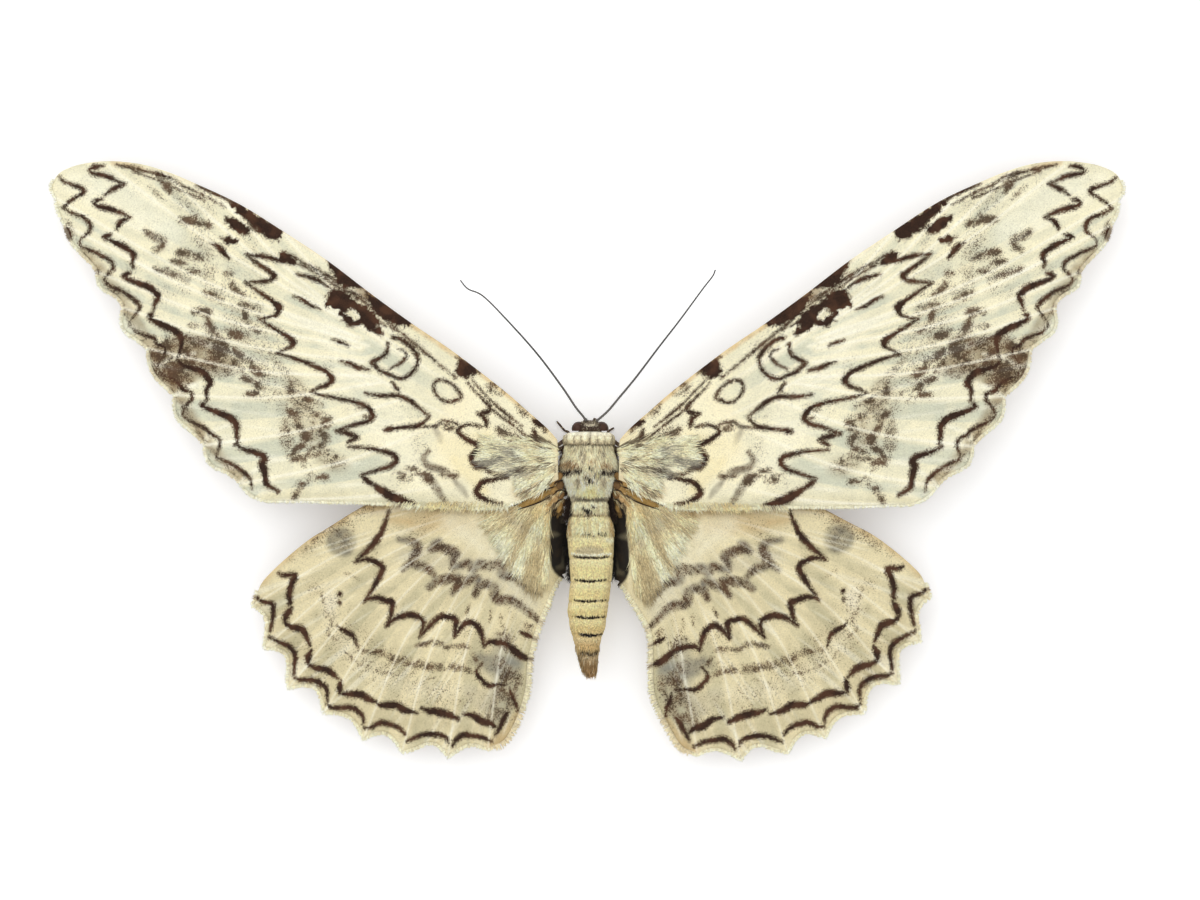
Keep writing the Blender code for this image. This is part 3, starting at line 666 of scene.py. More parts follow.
FOREWING_DUST = (
    Dust(0.88, 1.6, Blot((109.5, 26, 107.5, 29, 104, 30.3, 100, 30.3, 95, 30.5, 91, 30, 90.3, 28, 90, 26,
     88.5, 24.5, 86.5, 22.4, 89, 21, 92, 20.8, 95, 21.3, 99, 22.8, 101.5, 17.5, 108.5, 21))),
    dusting(0.6, 0.9, 0.8, 130.6, 59.5, 127, 52.6, 121.6, 45, 115.6, 36.2, 109.6, 26.6, 103, 15.4, 95.4,
     3.6, 88, -4.6),
    dusting(1, 1, 1.4, 95.6, 33.6, 93.6, 32, 92.6, 30.6),
    dusting(0.72, 1.2, 2.4, 92, 27.5, 90.8, 26, 90.4, 24.3),
    dusting(0.72, 1.4, 2.2, 90, 25, 88.6, 23.6, 87, 22),
    dusting(0.55, 1.5, 1.6, 99.5, 33, 95, 32, 90, 31),
    dusting(0.75, 0.8, 2.2, 107.8, 69.9, 106.5, 69.3, 105.3, 68.1, 104.6, 66.5),
    dusting(0.95, 0.5, 1.8, 105.2, 67.2, 104.6, 66.2),
    dusting(0.4, 1, 0.8, 110, 68, 108.5, 66.4, 104.5, 63),
    dusting(0.5, 0.8, 1, 99.5, 45.1, 100.5, 43.5),
    dusting(0.9, 1, 3, 24.6, 17.6, 23.2, 17.2, 21.8, 16.4),
    dusting(0.7, 1.2, 1.8, 17.4, 12.2, 15.4, 10.8),
    dusting(0.6, 1.6, 3, 22, 6.6, 19, 5, 16, 3.4),
    dusting(0.5, 1.2, 1, 40.1, 1.7, 41.2, -0.1, 40.5, -1.6, 38.6, -2.5, 36.1, -3.2, 35, -4.2, 32.8, -4.5),
    dusting(0.5, 1.2, 1, 41.2, -4.5, 39, -6, 37.9, -7.8, 35.7, -11.1),
    dusting(0.55, 1.4, 2.8, 75.5, 9.5, 75.5, 5, 75.2, 2),
    dusting(0.5, 1.6, 3, 70.5, 10, 69.2, 7, 69.5, 4),
    dusting(0.7, 1, 2.4, 34.3, -12.4, 30, -13.2),
    dusting(0.3, 3, 4, 102, 66, 97, 56, 95, 46, 88, 36, 82, 24, 76, 12),
    dusting(0.45, 1.6, 1, 84, 43, 82, 34, 79, 25, 70, 16),
    dusting(0.5, 2.6, 4, 74.5, 18, 71, 10, 69, 3),
    dusting(0.45, 2, 2, 66, -0.4, 61.5, -1.6),
    dusting(0.7, 1, 2.2, 25, 18.2, 22.6, 16.6),
    dusting(0.7, 1, 1.6, 17.8, 13.4, 15.8, 11.2),
)
FOREWING_TINTS = (
    strip("DDB673", 0.75, 0.8, 0.9, 8, 5, 15, 11.5, 27, 21.3, 43.9, 33.2, 54.1, 40.6),
    strip("D9B070", 0.6, 0.7, 0.8, 54.1, 40.8, 65.4, 49.4, 76.3, 56.6, 98.8, 68.8, 119, 74),
    strip("97815C", 0.75, 1.5, 1.8, 126, 51.5, 121, 45.6, 115.2, 37, 109, 27, 102.4, 15.5, 95, 3.4, 87, -5),
    Tint("84704F", 0.8, 1.6, Blot((109, 26, 104, 29.5, 95, 30, 91, 29, 90, 25, 88, 22, 95, 21, 102, 18, 108,
     21))),
    strip("FFFADC", 0.8, 1.3, 2.2, 56, 42.6, 66, 50, 76, 56.6, 98.8, 68.5, 110, 72),
    stain("FFFBE0", 0.75, 3, 7, 129, 69, 122, 67, 112, 62, 104, 56),
    stain("FFF9DC", 0.55, 4, 8, 66, 34, 58, 20, 50, 8, 42, -4),
    stain("FFF3CC", 0.6, 3, 4, 30, 16, 34, 10, 36, 2, 34, -6),
    stain("A3997C", 0.6, 2.4, 3, 67, -0.6, 64, -1.2, 61, -1.6),
    stain("A8946F", 0.45, 3, 5, 74, 19, 71, 11, 68.5, 4),
    stain("5E5C56", 0.95, 1.8, 2.6, 25, 3.2, 22.6, 1.2, 20.2, -0.9),
    stain("7E7A70", 0.9, 1.6, 2.4, 17.4, -2.8, 13.6, -4),
    stain("71675A", 0.95, 0.9, 1.1, 40.1, 1.7, 41.2, -0.1, 40.5, -1.6, 38.6, -2.5, 36.1, -3.2, 35, -4.2,
     32.8, -4.5),
    stain("7A7264", 0.95, 0.9, 1.3, 41.2, -4.5, 39, -6, 37.9, -7.8, 35.7, -11.1),
    stain("7A7264", 0.8, 0.8, 1, 33.8, -5.2, 31.7, -7.8, 30.4, -9.6),
    stain("9B917C", 0.7, 0.9, 1, 38.4, 7.6, 37.4, 5.4, 36.8, 4.2),
    stain("8C6D4A", 0.95, 1.2, 2.4, 57.6, 42, 54.6, 40.2),
    stain("EBDCB0", 0.8, 3, 8, 9, 2, 13, 0),
    stain("F3E3AE", 0.7, 2, 3, 33, -1, 30, -3, 26, -8.6),
    stain("F5E7B6", 0.6, 2.6, 4, 36, 4, 32, 2, 25, 6),
    stain("C7A774", 0.55, 2.5, 4, 17.5, -8.5, 9, -5.6),
    stain("CFC6A0", 0.6, 2.5, 2.5, 80, -9.6, 60, -10.2, 40, -11.2, 24, -11.6),
    # Pale streaks along the veins and folds: their pale colour and painted highlight of the raised veins
    stain("FBF7DF", 0.85, 0.6, 0.7, 103.7, 15.7, 100.5, 17.4, 97, 19),
    stain("FBF7DF", 0.85, 0.6, 0.7, 96.2, 3.2, 94.6, 6.4, 90, 8.2),
    stain("FBF7DF", 0.85, 0.6, 0.7, 87.3, -6.5, 85.2, -4.1, 82, -2.4, 80.2, -1, 74.6, -0.2),
    stain("FBF7DF", 0.8, 0.7, 0.9, 76.5, 36, 66, 32, 55, 28),
    stain("FBF7DF", 0.85, 0.6, 0.7, 108, 23, 103.4, 25.3, 98.5, 26.2),
)
HINDWING_STROKES = strokes(
    # Line across the middle
    (1.3, 50, -13.4, 50.9, -16.2, 52.3, -19.4, 54.3, -22, 56, -23.7, 58.3, -26, 58.3, -26, 56, -25.4, 54,
     -25.7, 52, -26.9, 51.7, -28.3, 52.9, -30.6, 54.3, -33.2, 56.3, -36, 56.3, -36, 54.9, -35.2, 52.9, -35,
     50.6, -35.8, 49.1, -36.3, 49.4, -38.3, 49.7, -40.4, 50.6, -42.1, 50.6, -42.1, 48.9, -40.6, 46.6, -39.5,
     44.5, -39.2, 42.2, -40, 41.4, -41.5, 42.2, -44.7, 42.2, -44.7, 40.1, -42.4, 37.3, -39.9, 34.7, -39.9,
     33.3, -40.4, 33.3, -42.5, 33.5, -44.7, 33.5, -44.7, 31.8, -42.4, 29.8, -41, 27.8, -42.2, 26.8, -44.2,
     26.2, -47.3, 26.2, -47.3, 24.9, -46.2, 22.4, -46.2, 20.1, -46.8, 18.6, -48.2),
    (1.8, 20.1, -46.8, 18.6, -48.2, 16.9, -49.6, 15.2, -50.2),
    # Bold line near the edge, in one piece for each tooth
    (1.35, 77.5, -28.9, 76.1, -29.4, 73.5, -29.4, 74.4, -31.5, 75, -34.3, 74.7, -36, 75.1, -36.8),
    (1.45, 74.4, -37.5, 75.5, -39.2, 76.1, -40.9, 76.1, -40.9, 75, -42.1, 72.9, -42.6, 71.5, -43.2, 70.6,
     -45, 69.8, -47),
    (1.45, 69.5, -48.1, 70.2, -49.8, 70.2, -51.8, 70.2, -51.8, 68.1, -52.7, 65.8, -53, 64.1, -54.1, 62.8,
     -55.4),
    (1.5, 62, -55.9, 62.4, -57.5, 62.3, -59, 62.3, -59, 59.7, -59.3, 57.2, -59.3, 55.2, -60.4, 53.3, -61.2),
    (1.55, 52.8, -61.7, 51.4, -62, 48.2, -62, 46, -63.2, 43, -63.9),
    (1.6, 41.7, -62.8, 39.9, -63.4, 37.3, -63.8, 34.7, -64.5, 32.7, -65.4),
    (1.5, 31.2, -64.2, 29, -64.5, 26.7, -66, 24.6, -66.5, 23.4, -67.4),
    (1.1, 23.2, -69.4, 22.1, -67.1, 20.9, -64.8, 20.1, -63.7),
    # Line along the teeth
    (1.1, 83.1, -34.9, 82.1, -35.8, 80.1, -36.3, 79.1, -36.9, 79, -38.6, 79.2, -40.6, 79.7, -43.2),
    (1.1, 80, -44.9, 78.1, -45.8, 76.1, -46.7, 74.4, -47.8, 73.5, -49.8, 73.8, -53, 73.9, -54.1),
    (1.1, 73.7, -55.1, 72.2, -55.6, 69.3, -55.6, 67, -56.6, 65.6, -58.1, 65.5, -61),
    (1.1, 65.5, -61.7, 64.2, -62.6, 60.3, -62.5, 58.1, -63.2, 56.7, -64.8, 56.4, -66.4),
    (1.1, 56, -67.7, 54.3, -67.4, 52, -66.4, 49.8, -66.9, 47.6, -67.7, 46, -69.3),
    (1.1, 45.5, -71, 43.5, -70.1, 41.2, -69.3, 38.1, -69.3, 35.8, -70, 35, -71.5),
    (1.1, 34.1, -72.3, 33.3, -70.8, 31.3, -69.4, 29, -69.7, 26.7, -70, 24.4, -71.1),
    # Spots between the lines
    (1.5, 62.5, -33.8, 62.1, -34.3),
    (0.9, 62.5, -36, 62.2, -36.6),
    (0.9, 62.9, -42.1, 61.2, -43.2, 58.9, -44.7, 57.7, -47.5),
    (1, 26.7, -51.6, 27.9, -53, 27.8, -54.5, 26.7, -55.6, 25.2, -57, 23.2, -56.8, 20.4, -56.8),
    (0.9, 19.8, -57.6, 19.2, -59.6, 18.3, -61.4, 17.8, -63.4),
    (1.3, 16.9, -43.6, 14, -45),
)
# Blurred dark bands of the inner half
HINDWING_BANDS = strokes(
    (1.4, 47.4, -20.5, 44.6, -20.8, 42.8, -22, 43.4, -24.3, 44.6, -26.3, 46.4, -27.9, 46.4, -27.9, 44.4,
     -26.4, 42.4, -26.9, 40.1, -27.8, 38.7, -29.2),
    (1.6, 37.3, -20.6, 38.4, -21.8, 39.6, -22.9, 39.6, -22.9, 37.3, -22.4, 35.3, -22.9, 33.3, -23.8, 33.8,
     -25.2, 34, -27.5, 34, -27.5, 32.4, -26.9, 30.1, -26.4, 28.9, -27.5, 27.2, -26.7, 25.2, -26.9, 22.1,
     -26.7, 21.5, -29.2, 18.3, -29.8, 15.2, -32.4, 12.3, -33.5),
    (1.5, 39.9, -32.4, 38.1, -31, 35.8, -30.4, 32.4, -30.1, 34, -33.8, 34, -33.8, 32.4, -32.1, 29.8, -30.7,
     27.8, -30.4, 28.4, -34.4, 28.4, -34.4, 27.2, -32.4, 25.2, -31.5, 23.8, -32.7, 22.9, -35.3, 19.8, -35.6,
     17.5, -36.7, 15.2, -38.4, 12.6, -40.7),
)
HINDWING_DUST = (
    dusting(0.6, 0.7, 0.6, 24.4, -38.4, 24.6, -40, 24.7, -41.6),
    dusting(0.45, 0.7, 0.5, 22, -39, 22, -42),
    dusting(0.65, 0.6, 0.6, 30.7, -39, 29.8, -36.7),
    dusting(0.8, 1, 0.9, 43, -47, 38.1, -46.2, 35.8, -47.4, 35.8, -47.4, 31.8, -47, 29.5, -48.2, 28.1,
     -50.8),
    dusting(0.75, 1.3, 1.4, 56.2, -48.3, 53, -48.7, 50.8, -49.3, 48, -51, 46.3, -50.8, 42.5, -51.9, 38.5,
     -52.3, 35.3, -52.2, 32, -52.6, 29, -53.6),
    dusting(0.45, 1, 0.9, 60.6, -48.4, 58.9, -50.7, 55.7, -52.1, 52.8, -53.6, 48.4, -54),
    dusting(0.4, 0.8, 0.6, 43, -55.9, 38.7, -55),
    dusting(0.7, 0.9, 1, 67, -33.5, 65.8, -38.6, 64.6, -41, 65.2, -43.5, 63.5, -45.5),
    dusting(0.3, 0.8, 0.6, 60.9, -28.9, 57.2, -30.6),
    dusting(0.2, 1.6, 6.2, 62.6, -20.4, 61, -21.8),
    dusting(0.75, 1.6, 3.4, 21.4, -43, 20.4, -47.5),
    dusting(0.7, 1.8, 4.6, 22.5, -51, 19.6, -55, 20.6, -60, 24.6, -65),
    dusting(0.8, 1, 1.6, 16.6, -41.8, 14.2, -42.6),
    dusting(0.35, 2.5, 2.5, 49, -8.5, 62, -16, 74, -25),
    dusting(0.18, 4, 7, 68, -33, 60, -46, 44, -57, 28, -61),
    dusting(0.9, 0.8, 1.8, 32, -69.6, 30.4, -69.4),
)
HINDWING_TINTS = (
    stain("F3E9C6", 0.55, 2.6, 2.4, 66, -35, 63, -44, 54, -53, 42, -58, 30, -58),
    stain("BDB08A", 0.45, 2.2, 2.2, 79, -36, 73, -49, 65, -58, 54, -64, 40, -67, 27, -68),
    strip("E9DFBB", 0.85, 1.4, 1.6, 82.5, -39, 79, -49, 73.5, -58, 65, -64.5, 55.5, -69.5, 45, -72.5, 34,
     -73.8, 26, -72.4),
    strip("A98A5A", 0.85, 2.4, 2.5, 54, -11.5, 46, -11, 38, -11.6, 28, -12, 20, -11.5),
    stain("C4A26A", 0.6, 2.6, 2.5, 49, -15, 40, -16, 29, -16.5),
    strip("D0AE75", 0.65, 1.6, 1.2, 50, -8.4, 62, -15.4, 75, -24.2, 81.5, -30.6),
    strip("7A5F3E", 0.7, 0.5, 0.5, 52, -9.4, 60, -13.8, 70, -19.9),
    stain("F2E9CB", 0.85, 1.6, 2.4, 64.6, -33.6, 64.3, -38),
    stain("6C6A5E", 1.05, 1.6, 5.6, 62.8, -19.4, 61, -22.6),
    stain("74746C", 0.85, 2.2, 3.6, 27, -50.5, 22.5, -52.4, 18, -51.5),
    stain("8C8C80", 0.65, 2.6, 5, 22, -46, 20.4, -56, 24, -66),
    stain("F1EACB", 0.75, 3.5, 6, 34, -16, 26, -20, 20, -26, 16, -36),
    stain("BDB59B", 0.55, 3, 3.5, 46, -24, 34, -26, 22, -31, 14, -37),
    stain("9B978A", 0.65, 1.6, 2, 19.8, -14, 16, -17, 12.3, -20),
    stain("B4AC93", 0.6, 2, 4, 29.5, -59, 26, -61, 23.8, -62.6),
    stain("C79F63", 0.6, 1.5, 2, 25, -72, 20.5, -69.5, 17.6, -64.5),
    stain("C9A369", 0.6, 1.6, 2, 9.6, -8.5, 9, -14),
    # Near-black inner fold of the hindwing, hanging beside the abdomen: its dark underside and painted deep
    # shade
    Tint("211E1B", 1.6, 0.5, Blot((5, -12.6, 8.9, -13, 9.4, -18, 9.5, -24, 8.4, -28.6, 5, -30, 4, -24))),
)


def drifted(places: Array, drifts: tuple) -> Array:
    """Places moved by soft local drifts, each fading as exp(-distance^2 / reach^2).

    Args:
        places: Places to move.
        drifts: For each drift its middle, its reach and how far it moves its middle.

    Returns:
        The moved places.
    """
    moved = places.copy()
    for middle, reach, drift in drifts:
        away = ((places - np.array(middle)) ** 2).sum(axis=1)
        moved += np.exp(-away / reach**2)[:, None] * np.array(drift)
    return moved


def lobed(stations: tuple, steps: int) -> Array:
    """Edge that swells between its stations by A sin(pi t) + B sin(2 pi t) off the chord.

    Args:
        stations: Each with its place, its swell A and its lean B.
        steps: Points from one station to the next.

    Returns:
        Places along the edge.
    """
    at = np.array([s[0] for s in stations], float)
    a, run = at[:-1], np.diff(at, axis=0)
    side = np.column_stack([-run[:, 1], run[:, 0]]) / np.hypot(run[:, 0], run[:, 1])[:, None]
    t = np.linspace(0.0, 1.0, steps, endpoint=False)[None, :, None]
    swell = np.array([s[1] for s in stations[:-1]])[:, None, None]
    lean = np.array([s[2] for s in stations[:-1]])[:, None, None]
    off = swell * np.sin(math.pi * t) + lean * np.sin(FULL_TURN * t)
    found = a[:, None, :] + run[:, None, :] * t + side[:, None, :] * off
    return np.vstack([found.reshape(-1, 2), at[-1:]])


def pulled_in(outline: Array, depth: float) -> Array:
    """Closed outline moved inwards along its normals.

    Args:
        outline: Places along it.
        depth: How far to move each place.

    Returns:
        The moved places.
    """
    before, after = np.roll(outline, 1, axis=0), np.roll(outline, -1, axis=0)
    run = after - before
    normal = np.column_stack([run[:, 1], -run[:, 0]]) / (np.hypot(run[:, 0], run[:, 1])[:, None] + TINY)
    area = (outline[:, 0] * after[:, 1] - outline[:, 1] * after[:, 0]).sum()
    return outline - np.sign(area) * depth * normal


def forewing_height(u: Array) -> Array:
    """Height of the forewing's middle layer: 12.5 + 2 s - 5.5 s^2, with s = (u - 7.4) / 127.5."""
    s = (u - 7.4) / 127.5
    return 12.5 + 2.0 * s - 5.5 * s**2


def hindwing_height(u: Array, v: Array) -> Array:
    """Height of the hindwing's middle layer, with its fold down beside the abdomen.

    Args:
        u: Places outwards.
        v: Places forwards.

    Returns:
        The forewing's height less 1.5, less 3.5 p^1.5 behind, less 6 f^1.2 in the fold.
    """
    past = np.clip((-12.0 - v) / 60.0, 0.0, None)
    fold = np.clip((10.0 - u) / 4.8, 0.0, 1.0)
    near = np.clip((-8.5 - v) / 4.5, 0.0, 1.0)
    return forewing_height(u) - 1.5 - 3.5 * past**1.5 - 6.0 * fold**1.2 * near


@dataclass
class Lattice:
    """Square grid of cells within an outline, with its edge drawn on to the outline."""

    outline: Array
    spacing: float
    pinch_rounds: int = 4
    spread_rounds: int = 12
    even_rounds: int = 6
    places: Array = field(init=False)
    cells: Array = field(init=False)
    rim: Array = field(init=False)

    def __post_init__(self) -> None:
        """Choose the cells, number their corners and find the rim."""
        low = self.outline.min(axis=0) - 2 * self.spacing
        n, m = (np.ceil((self.outline.max(axis=0) - low) / self.spacing) + 2).astype(int)
        i, j = np.meshgrid(np.arange(n), np.arange(m), indexing="ij")
        middles = low + (np.stack([i, j], axis=-1) + 0.5) * self.spacing
        kept = inside(middles.reshape(-1, 2), self.outline).reshape(n, m)
        for _ in range(self.pinch_rounds):
            kept = self.without_pinches(kept)
        kept = self.largest(kept)
        at = np.argwhere(kept)
        corners = np.array([(0, 0), (1, 0), (1, 1), (0, 1)])
        keys = (at[:, None, 0] + corners[:, 0]) * (m + 2) + at[:, None, 1] + corners[:, 1]
        used, numbers = np.unique(keys, return_inverse=True)
        self.cells = numbers.reshape(-1, 4)
        grid = np.column_stack([used // (m + 2), used % (m + 2)])
        self.places = low + grid * self.spacing
        sides = []
        for k, step in enumerate(((0, -1), (1, 0), (0, 1), (-1, 0))):
            open_side = ~kept[at[:, 0] + step[0], at[:, 1] + step[1]]
            sides.append(self.cells[open_side][:, [k, (k + 1) % 4]])
        self.rim = np.vstack(sides)
        self.draw_edge()

    @staticmethod
    def without_pinches(kept: Array) -> Array:
        """Fill one cell wherever two cells meet only at a corner.

        Args:
            kept: Which cells of the grid are kept.

        Returns:
            The same with the filled cells.
        """
        filled = kept.copy()
        a, b, c, d = kept[:-1, :-1], kept[1:, :-1], kept[1:, 1:], kept[:-1, 1:]
        filled[1:, :-1] |= a & c & ~b & ~d
        filled[:-1, :-1] |= b & d & ~a & ~c
        return filled

    def largest(self, kept: Array) -> Array:
        """Cells joined to the middle of the widest row, found by spreading from it.

        Args:
            kept: Which cells of the grid are kept.

        Returns:
            Those that can be reached.
        """
        row = int(kept.sum(axis=0).argmax())
        seed = np.flatnonzero(kept[:, row])
        reached = np.zeros_like(kept)
        reached[seed[len(seed) // 2], row] = True
        count = 0
        while reached.sum() != count:
            count = reached.sum()
            for _ in range(self.spread_rounds):
                spread = reached.copy()
                for to, of in ((spread, reached), (spread.T, reached.T)):
                    to[1:] |= of[:-1]
                    to[:-1] |= of[1:]
                reached = spread & kept
        return reached

    def draw_edge(self) -> None:
        """Move the rim's corners to the nearest point of the outline, then even out the rest."""
        on_rim = np.unique(self.rim)
        line = np.vstack([self.outline, self.outline[:1]])
        run = np.diff(line, axis=0)
        at = self.places[on_rim][:, None, :]
        share = np.clip(((at - line[:-1]) * run).sum(-1) / ((run**2).sum(-1) + TINY), 0.0, 1.0)
        foot = line[:-1] + share[..., None] * run
        away = ((at - foot) ** 2).sum(-1)
        self.places[on_rim] = foot[np.arange(len(on_rim)), away.argmin(axis=1)]
        loose = np.ones(len(self.places), bool)
        loose[on_rim] = False
        ends = np.vstack([self.cells[:, [k, (k + 1) % 4]] for k in range(4)])
        for _ in range(self.even_rounds):
            total = np.zeros_like(self.places)
            count = np.zeros(len(self.places))
            for a, b in ((0, 1), (1, 0)):
                for axis in (0, 1):
                    total[:, axis] += np.bincount(ends[:, a], self.places[ends[:, b], axis], len(count))
                count += np.bincount(ends[:, a], minlength=len(count))
            self.places[loose] = (total / count[:, None])[loose]


@dataclass
class WingPlan:
    """One kind of wing as on the moth's left side: outline, markings and veins."""

    word: str
    outline: Array
    spacing: float
    strokes: tuple[Stroke, ...]
    blots: tuple[Blot, ...]
    dusts: tuple[Dust, ...]
    tints: tuple[Tint, ...]
    veins: list[Array]
    ground: tuple[str, str]
    # Grey-green between the veins, which also paints the shade of the pleats on one side of each vein
    shade: str
    uv_origin: tuple[float, float]
    uv_scale: float
    # Width of the pale streak along each vein, which is its pale colour and painted highlight
    streak: float = 0.36
    hem: float = 0.35
    half_thickness: float = 0.16
    rim_share: float = 0.35
    vein_rise: float = 0.12
    vein_width: float = 0.45
    corrugation: float = 0.32
    dusty: str = "94774F"
    bare_vein: str = "FFFCE8"
    under_brown: str = "5B4232"
    under_band: str = "D9CBA4"
    under_rim: str = "C9B183"
    under_dust: float = 0.12
    under_uv: tuple[float, float] = (0.0, 0.5)
    # How far beyond a marking's path its soft edge, or a line's dust, can reach
    spill: float = 4.0
    line_spill: float = 3.5
    lattice: Lattice = field(init=False)
    colour: Array = field(init=False)
    under: Array = field(init=False)
    line: Array = field(init=False)
    dust: Array = field(init=False)
    relief: Array = field(init=False)

    def __post_init__(self) -> None:
        """Lay the lattice and read every marking at its corners."""
        self.lattice = Lattice(pulled_in(self.outline, self.hem), self.spacing)
        self.read_markings(self.lattice.places)
        self.read_relief(self.lattice.places)

    def look(self, places: Array) -> tuple[Array, Array, Array]:
        """Upper face's ground colour, line and dust at places on the plan.

        Args:
            places: Where to read them.

        Returns:
            Colours, gap values of the dark lines, and shares of scattered dark scales.
        """
        cloud = grain(places, 7.0, 3) * 0.6 + grain(places, 2.2, 4) * 0.4
        top, low = (np.tile(linear(text), (len(places), 1)) for text in self.ground)
        colour = top + (low - top) * ramp(cloud, 0.25, 0.85)[:, None]
        reach = np.hypot(places[:, 0], places[:, 1])
        outer = ramp(reach, 26.0, 60.0) * ramp(places[:, 0], 9.5, 12.0)
        vein = self.vein_gap(places)
        # Grey-green between the veins, heavier on one side of each vein than the other: the wing's own
        # grey-green and painted shade of its pleats
        facing = (self.vein_gap(places + np.array((0.35, 0.6))) - vein) / 0.7
        painted_pleat_shade = ramp(-vein, 0.15, 1.7) * (0.25 + 0.75 * ramp(facing, -0.5, 0.7))
        colour = wash(colour, linear(self.shade), painted_pleat_shade * outer * (0.45 + 0.55 * ramp(cloud, 0.2, 0.7)))
        for tint in self.tints:
            near, gap = paint(places, tint.shape, tint.soft + self.spill)
            patchy = 0.75 + 0.5 * (grain(places[near], 1.6, 5) - 0.5)
            share = tint.share * patchy * ramp(gap, -tint.soft, 0.3 * tint.soft)
            colour[near] = wash(colour[near], linear(tint.colour), np.clip(share, 0.0, 1.0))
        line = np.full(len(places), OFF_LINE)
        ragged = 0.6 * grain(places, 0.9, 9) + 0.4 * grain(places, 0.4, 10) - 0.56
        for shapes, roughness in ((self.strokes, 0.25), (self.blots, 1.7)):
            for shape in shapes:
                near, gap = paint(places, shape, self.line_spill)
                line[near] = np.maximum(line[near], gap + roughness * ragged[near])
        angle = np.arctan2(places[:, 1] + 2.0, places[:, 0])
        fans = np.column_stack([angle * 60.0, reach * 0.35])
        clump = 0.35 * grain(places, 2.2, 7) + 0.30 * grain(places, 0.7, 11) + 0.35 * grain(fans, 1.0, 16)
        clump = np.clip(2.6 * clump - 0.55, 0.0, 1.4)
        dust = 0.14 * ramp(grain(places, 6.0, 6), 0.55, 0.95) * clump
        for patch in self.dusts:
            near, gap = paint(places, patch.shape, patch.soft + self.spill)
            share = patch.share * clump[near] * ramp(gap, -patch.soft, 0.5 * patch.soft)
            dust[near] = np.maximum(dust[near], share)
        dust = np.maximum(dust, 0.75 * ramp(line, -1.0, 0.1) ** 1.5 * (0.4 + 0.6 * clump))
        colour = wash(colour, linear(self.dusty), 0.62 * np.clip(dust, 0.0, 1.0))
        # Pale streak along each vein: its own pale colour and painted highlight of the raised vein
        streak = np.exp(-((vein / self.streak) ** 2)) * outer
        fibre = grain(np.column_stack([angle * 95.0, reach * 0.10]), 1.0, 15)
        light = 1.7 * self.streak * streak + 0.32 * ramp(fibre, 0.6, 1.0) * outer
        colour = wash(colour, linear(self.bare_vein), np.clip(light, 0.0, 1.0))
        colour = wash(colour, linear(self.shade) * 0.8, 0.22 * ramp(-fibre, -0.35, 0.0) * outer)
        dust = dust * (1.0 - 0.75 * streak)
        return colour, line, np.clip(dust, 0.0, 1.0)

    def read_markings(self, places: Array) -> None:
        """Ground colour, line and dust at each place, for both faces of the wing.

        Args:
            places: Corners of the lattice.
        """
        self.colour, self.line, self.dust = self.look(places)
        bands = np.sin(0.42 * np.hypot(places[:, 0] * 0.9, places[:, 1] - 8.0) + 2.0 * grain(places, 9.0, 8))
        brown = np.tile(linear(self.under_brown), (len(places), 1))
        self.under = wash(brown, linear(self.under_band), 0.8 * ramp(bands, 0.35, 0.75))
        near_rim = ramp(-self.rim_depth(places), -2.2, -0.6)
        self.under = wash(self.under, linear(self.under_rim), 0.7 * near_rim)

    def vein_gap(self, places: Array) -> Array:
        """Distance from each place to the nearest vein, below zero.

        Args:
            places: Where to measure, taken 4000 at a time to spare memory.

        Returns:
            Minus the distance, and no less than -9.
        """
        near = np.full(len(places), -9.0)
        for vein in self.veins:
            for part in np.array_split(np.arange(len(places)), 1 + len(places) // 4000):
                near[part] = np.maximum(near[part], gap_to(places[part], vein, np.zeros(len(vein))))
        return near

    def rim_depth(self, places: Array) -> Array:
        """Distance from each place to the outline.

        Args:
            places: Where to measure, taken in 24 parts to spare memory.

        Returns:
            The distances, above zero.
        """
        closed = np.vstack([self.outline, self.outline[:1]])[::3]
        found = [-gap_to(part, closed, np.zeros(len(closed))) for part in np.array_split(places, 24)]
        return np.concatenate(found)

    def read_relief(self, places: Array) -> None:
        """Rise of the veins, and sag of the film between them, which is 0 near the root.

        Args:
            places: Corners of the lattice. At a distance d from the nearest vein the rise goes as
                exp(-(d / width)^2).
        """
        near = self.vein_gap(places)
        far = ramp(np.hypot(places[:, 0] - 7.0, places[:, 1] + 4.0), 12.0, 60.0)
        sag = 1.0 - np.exp(-((near / 2.4) ** 2))
        rise = self.vein_rise * np.exp(-((near / self.vein_width) ** 2))
        self.relief = rise - self.corrugation * far * sag


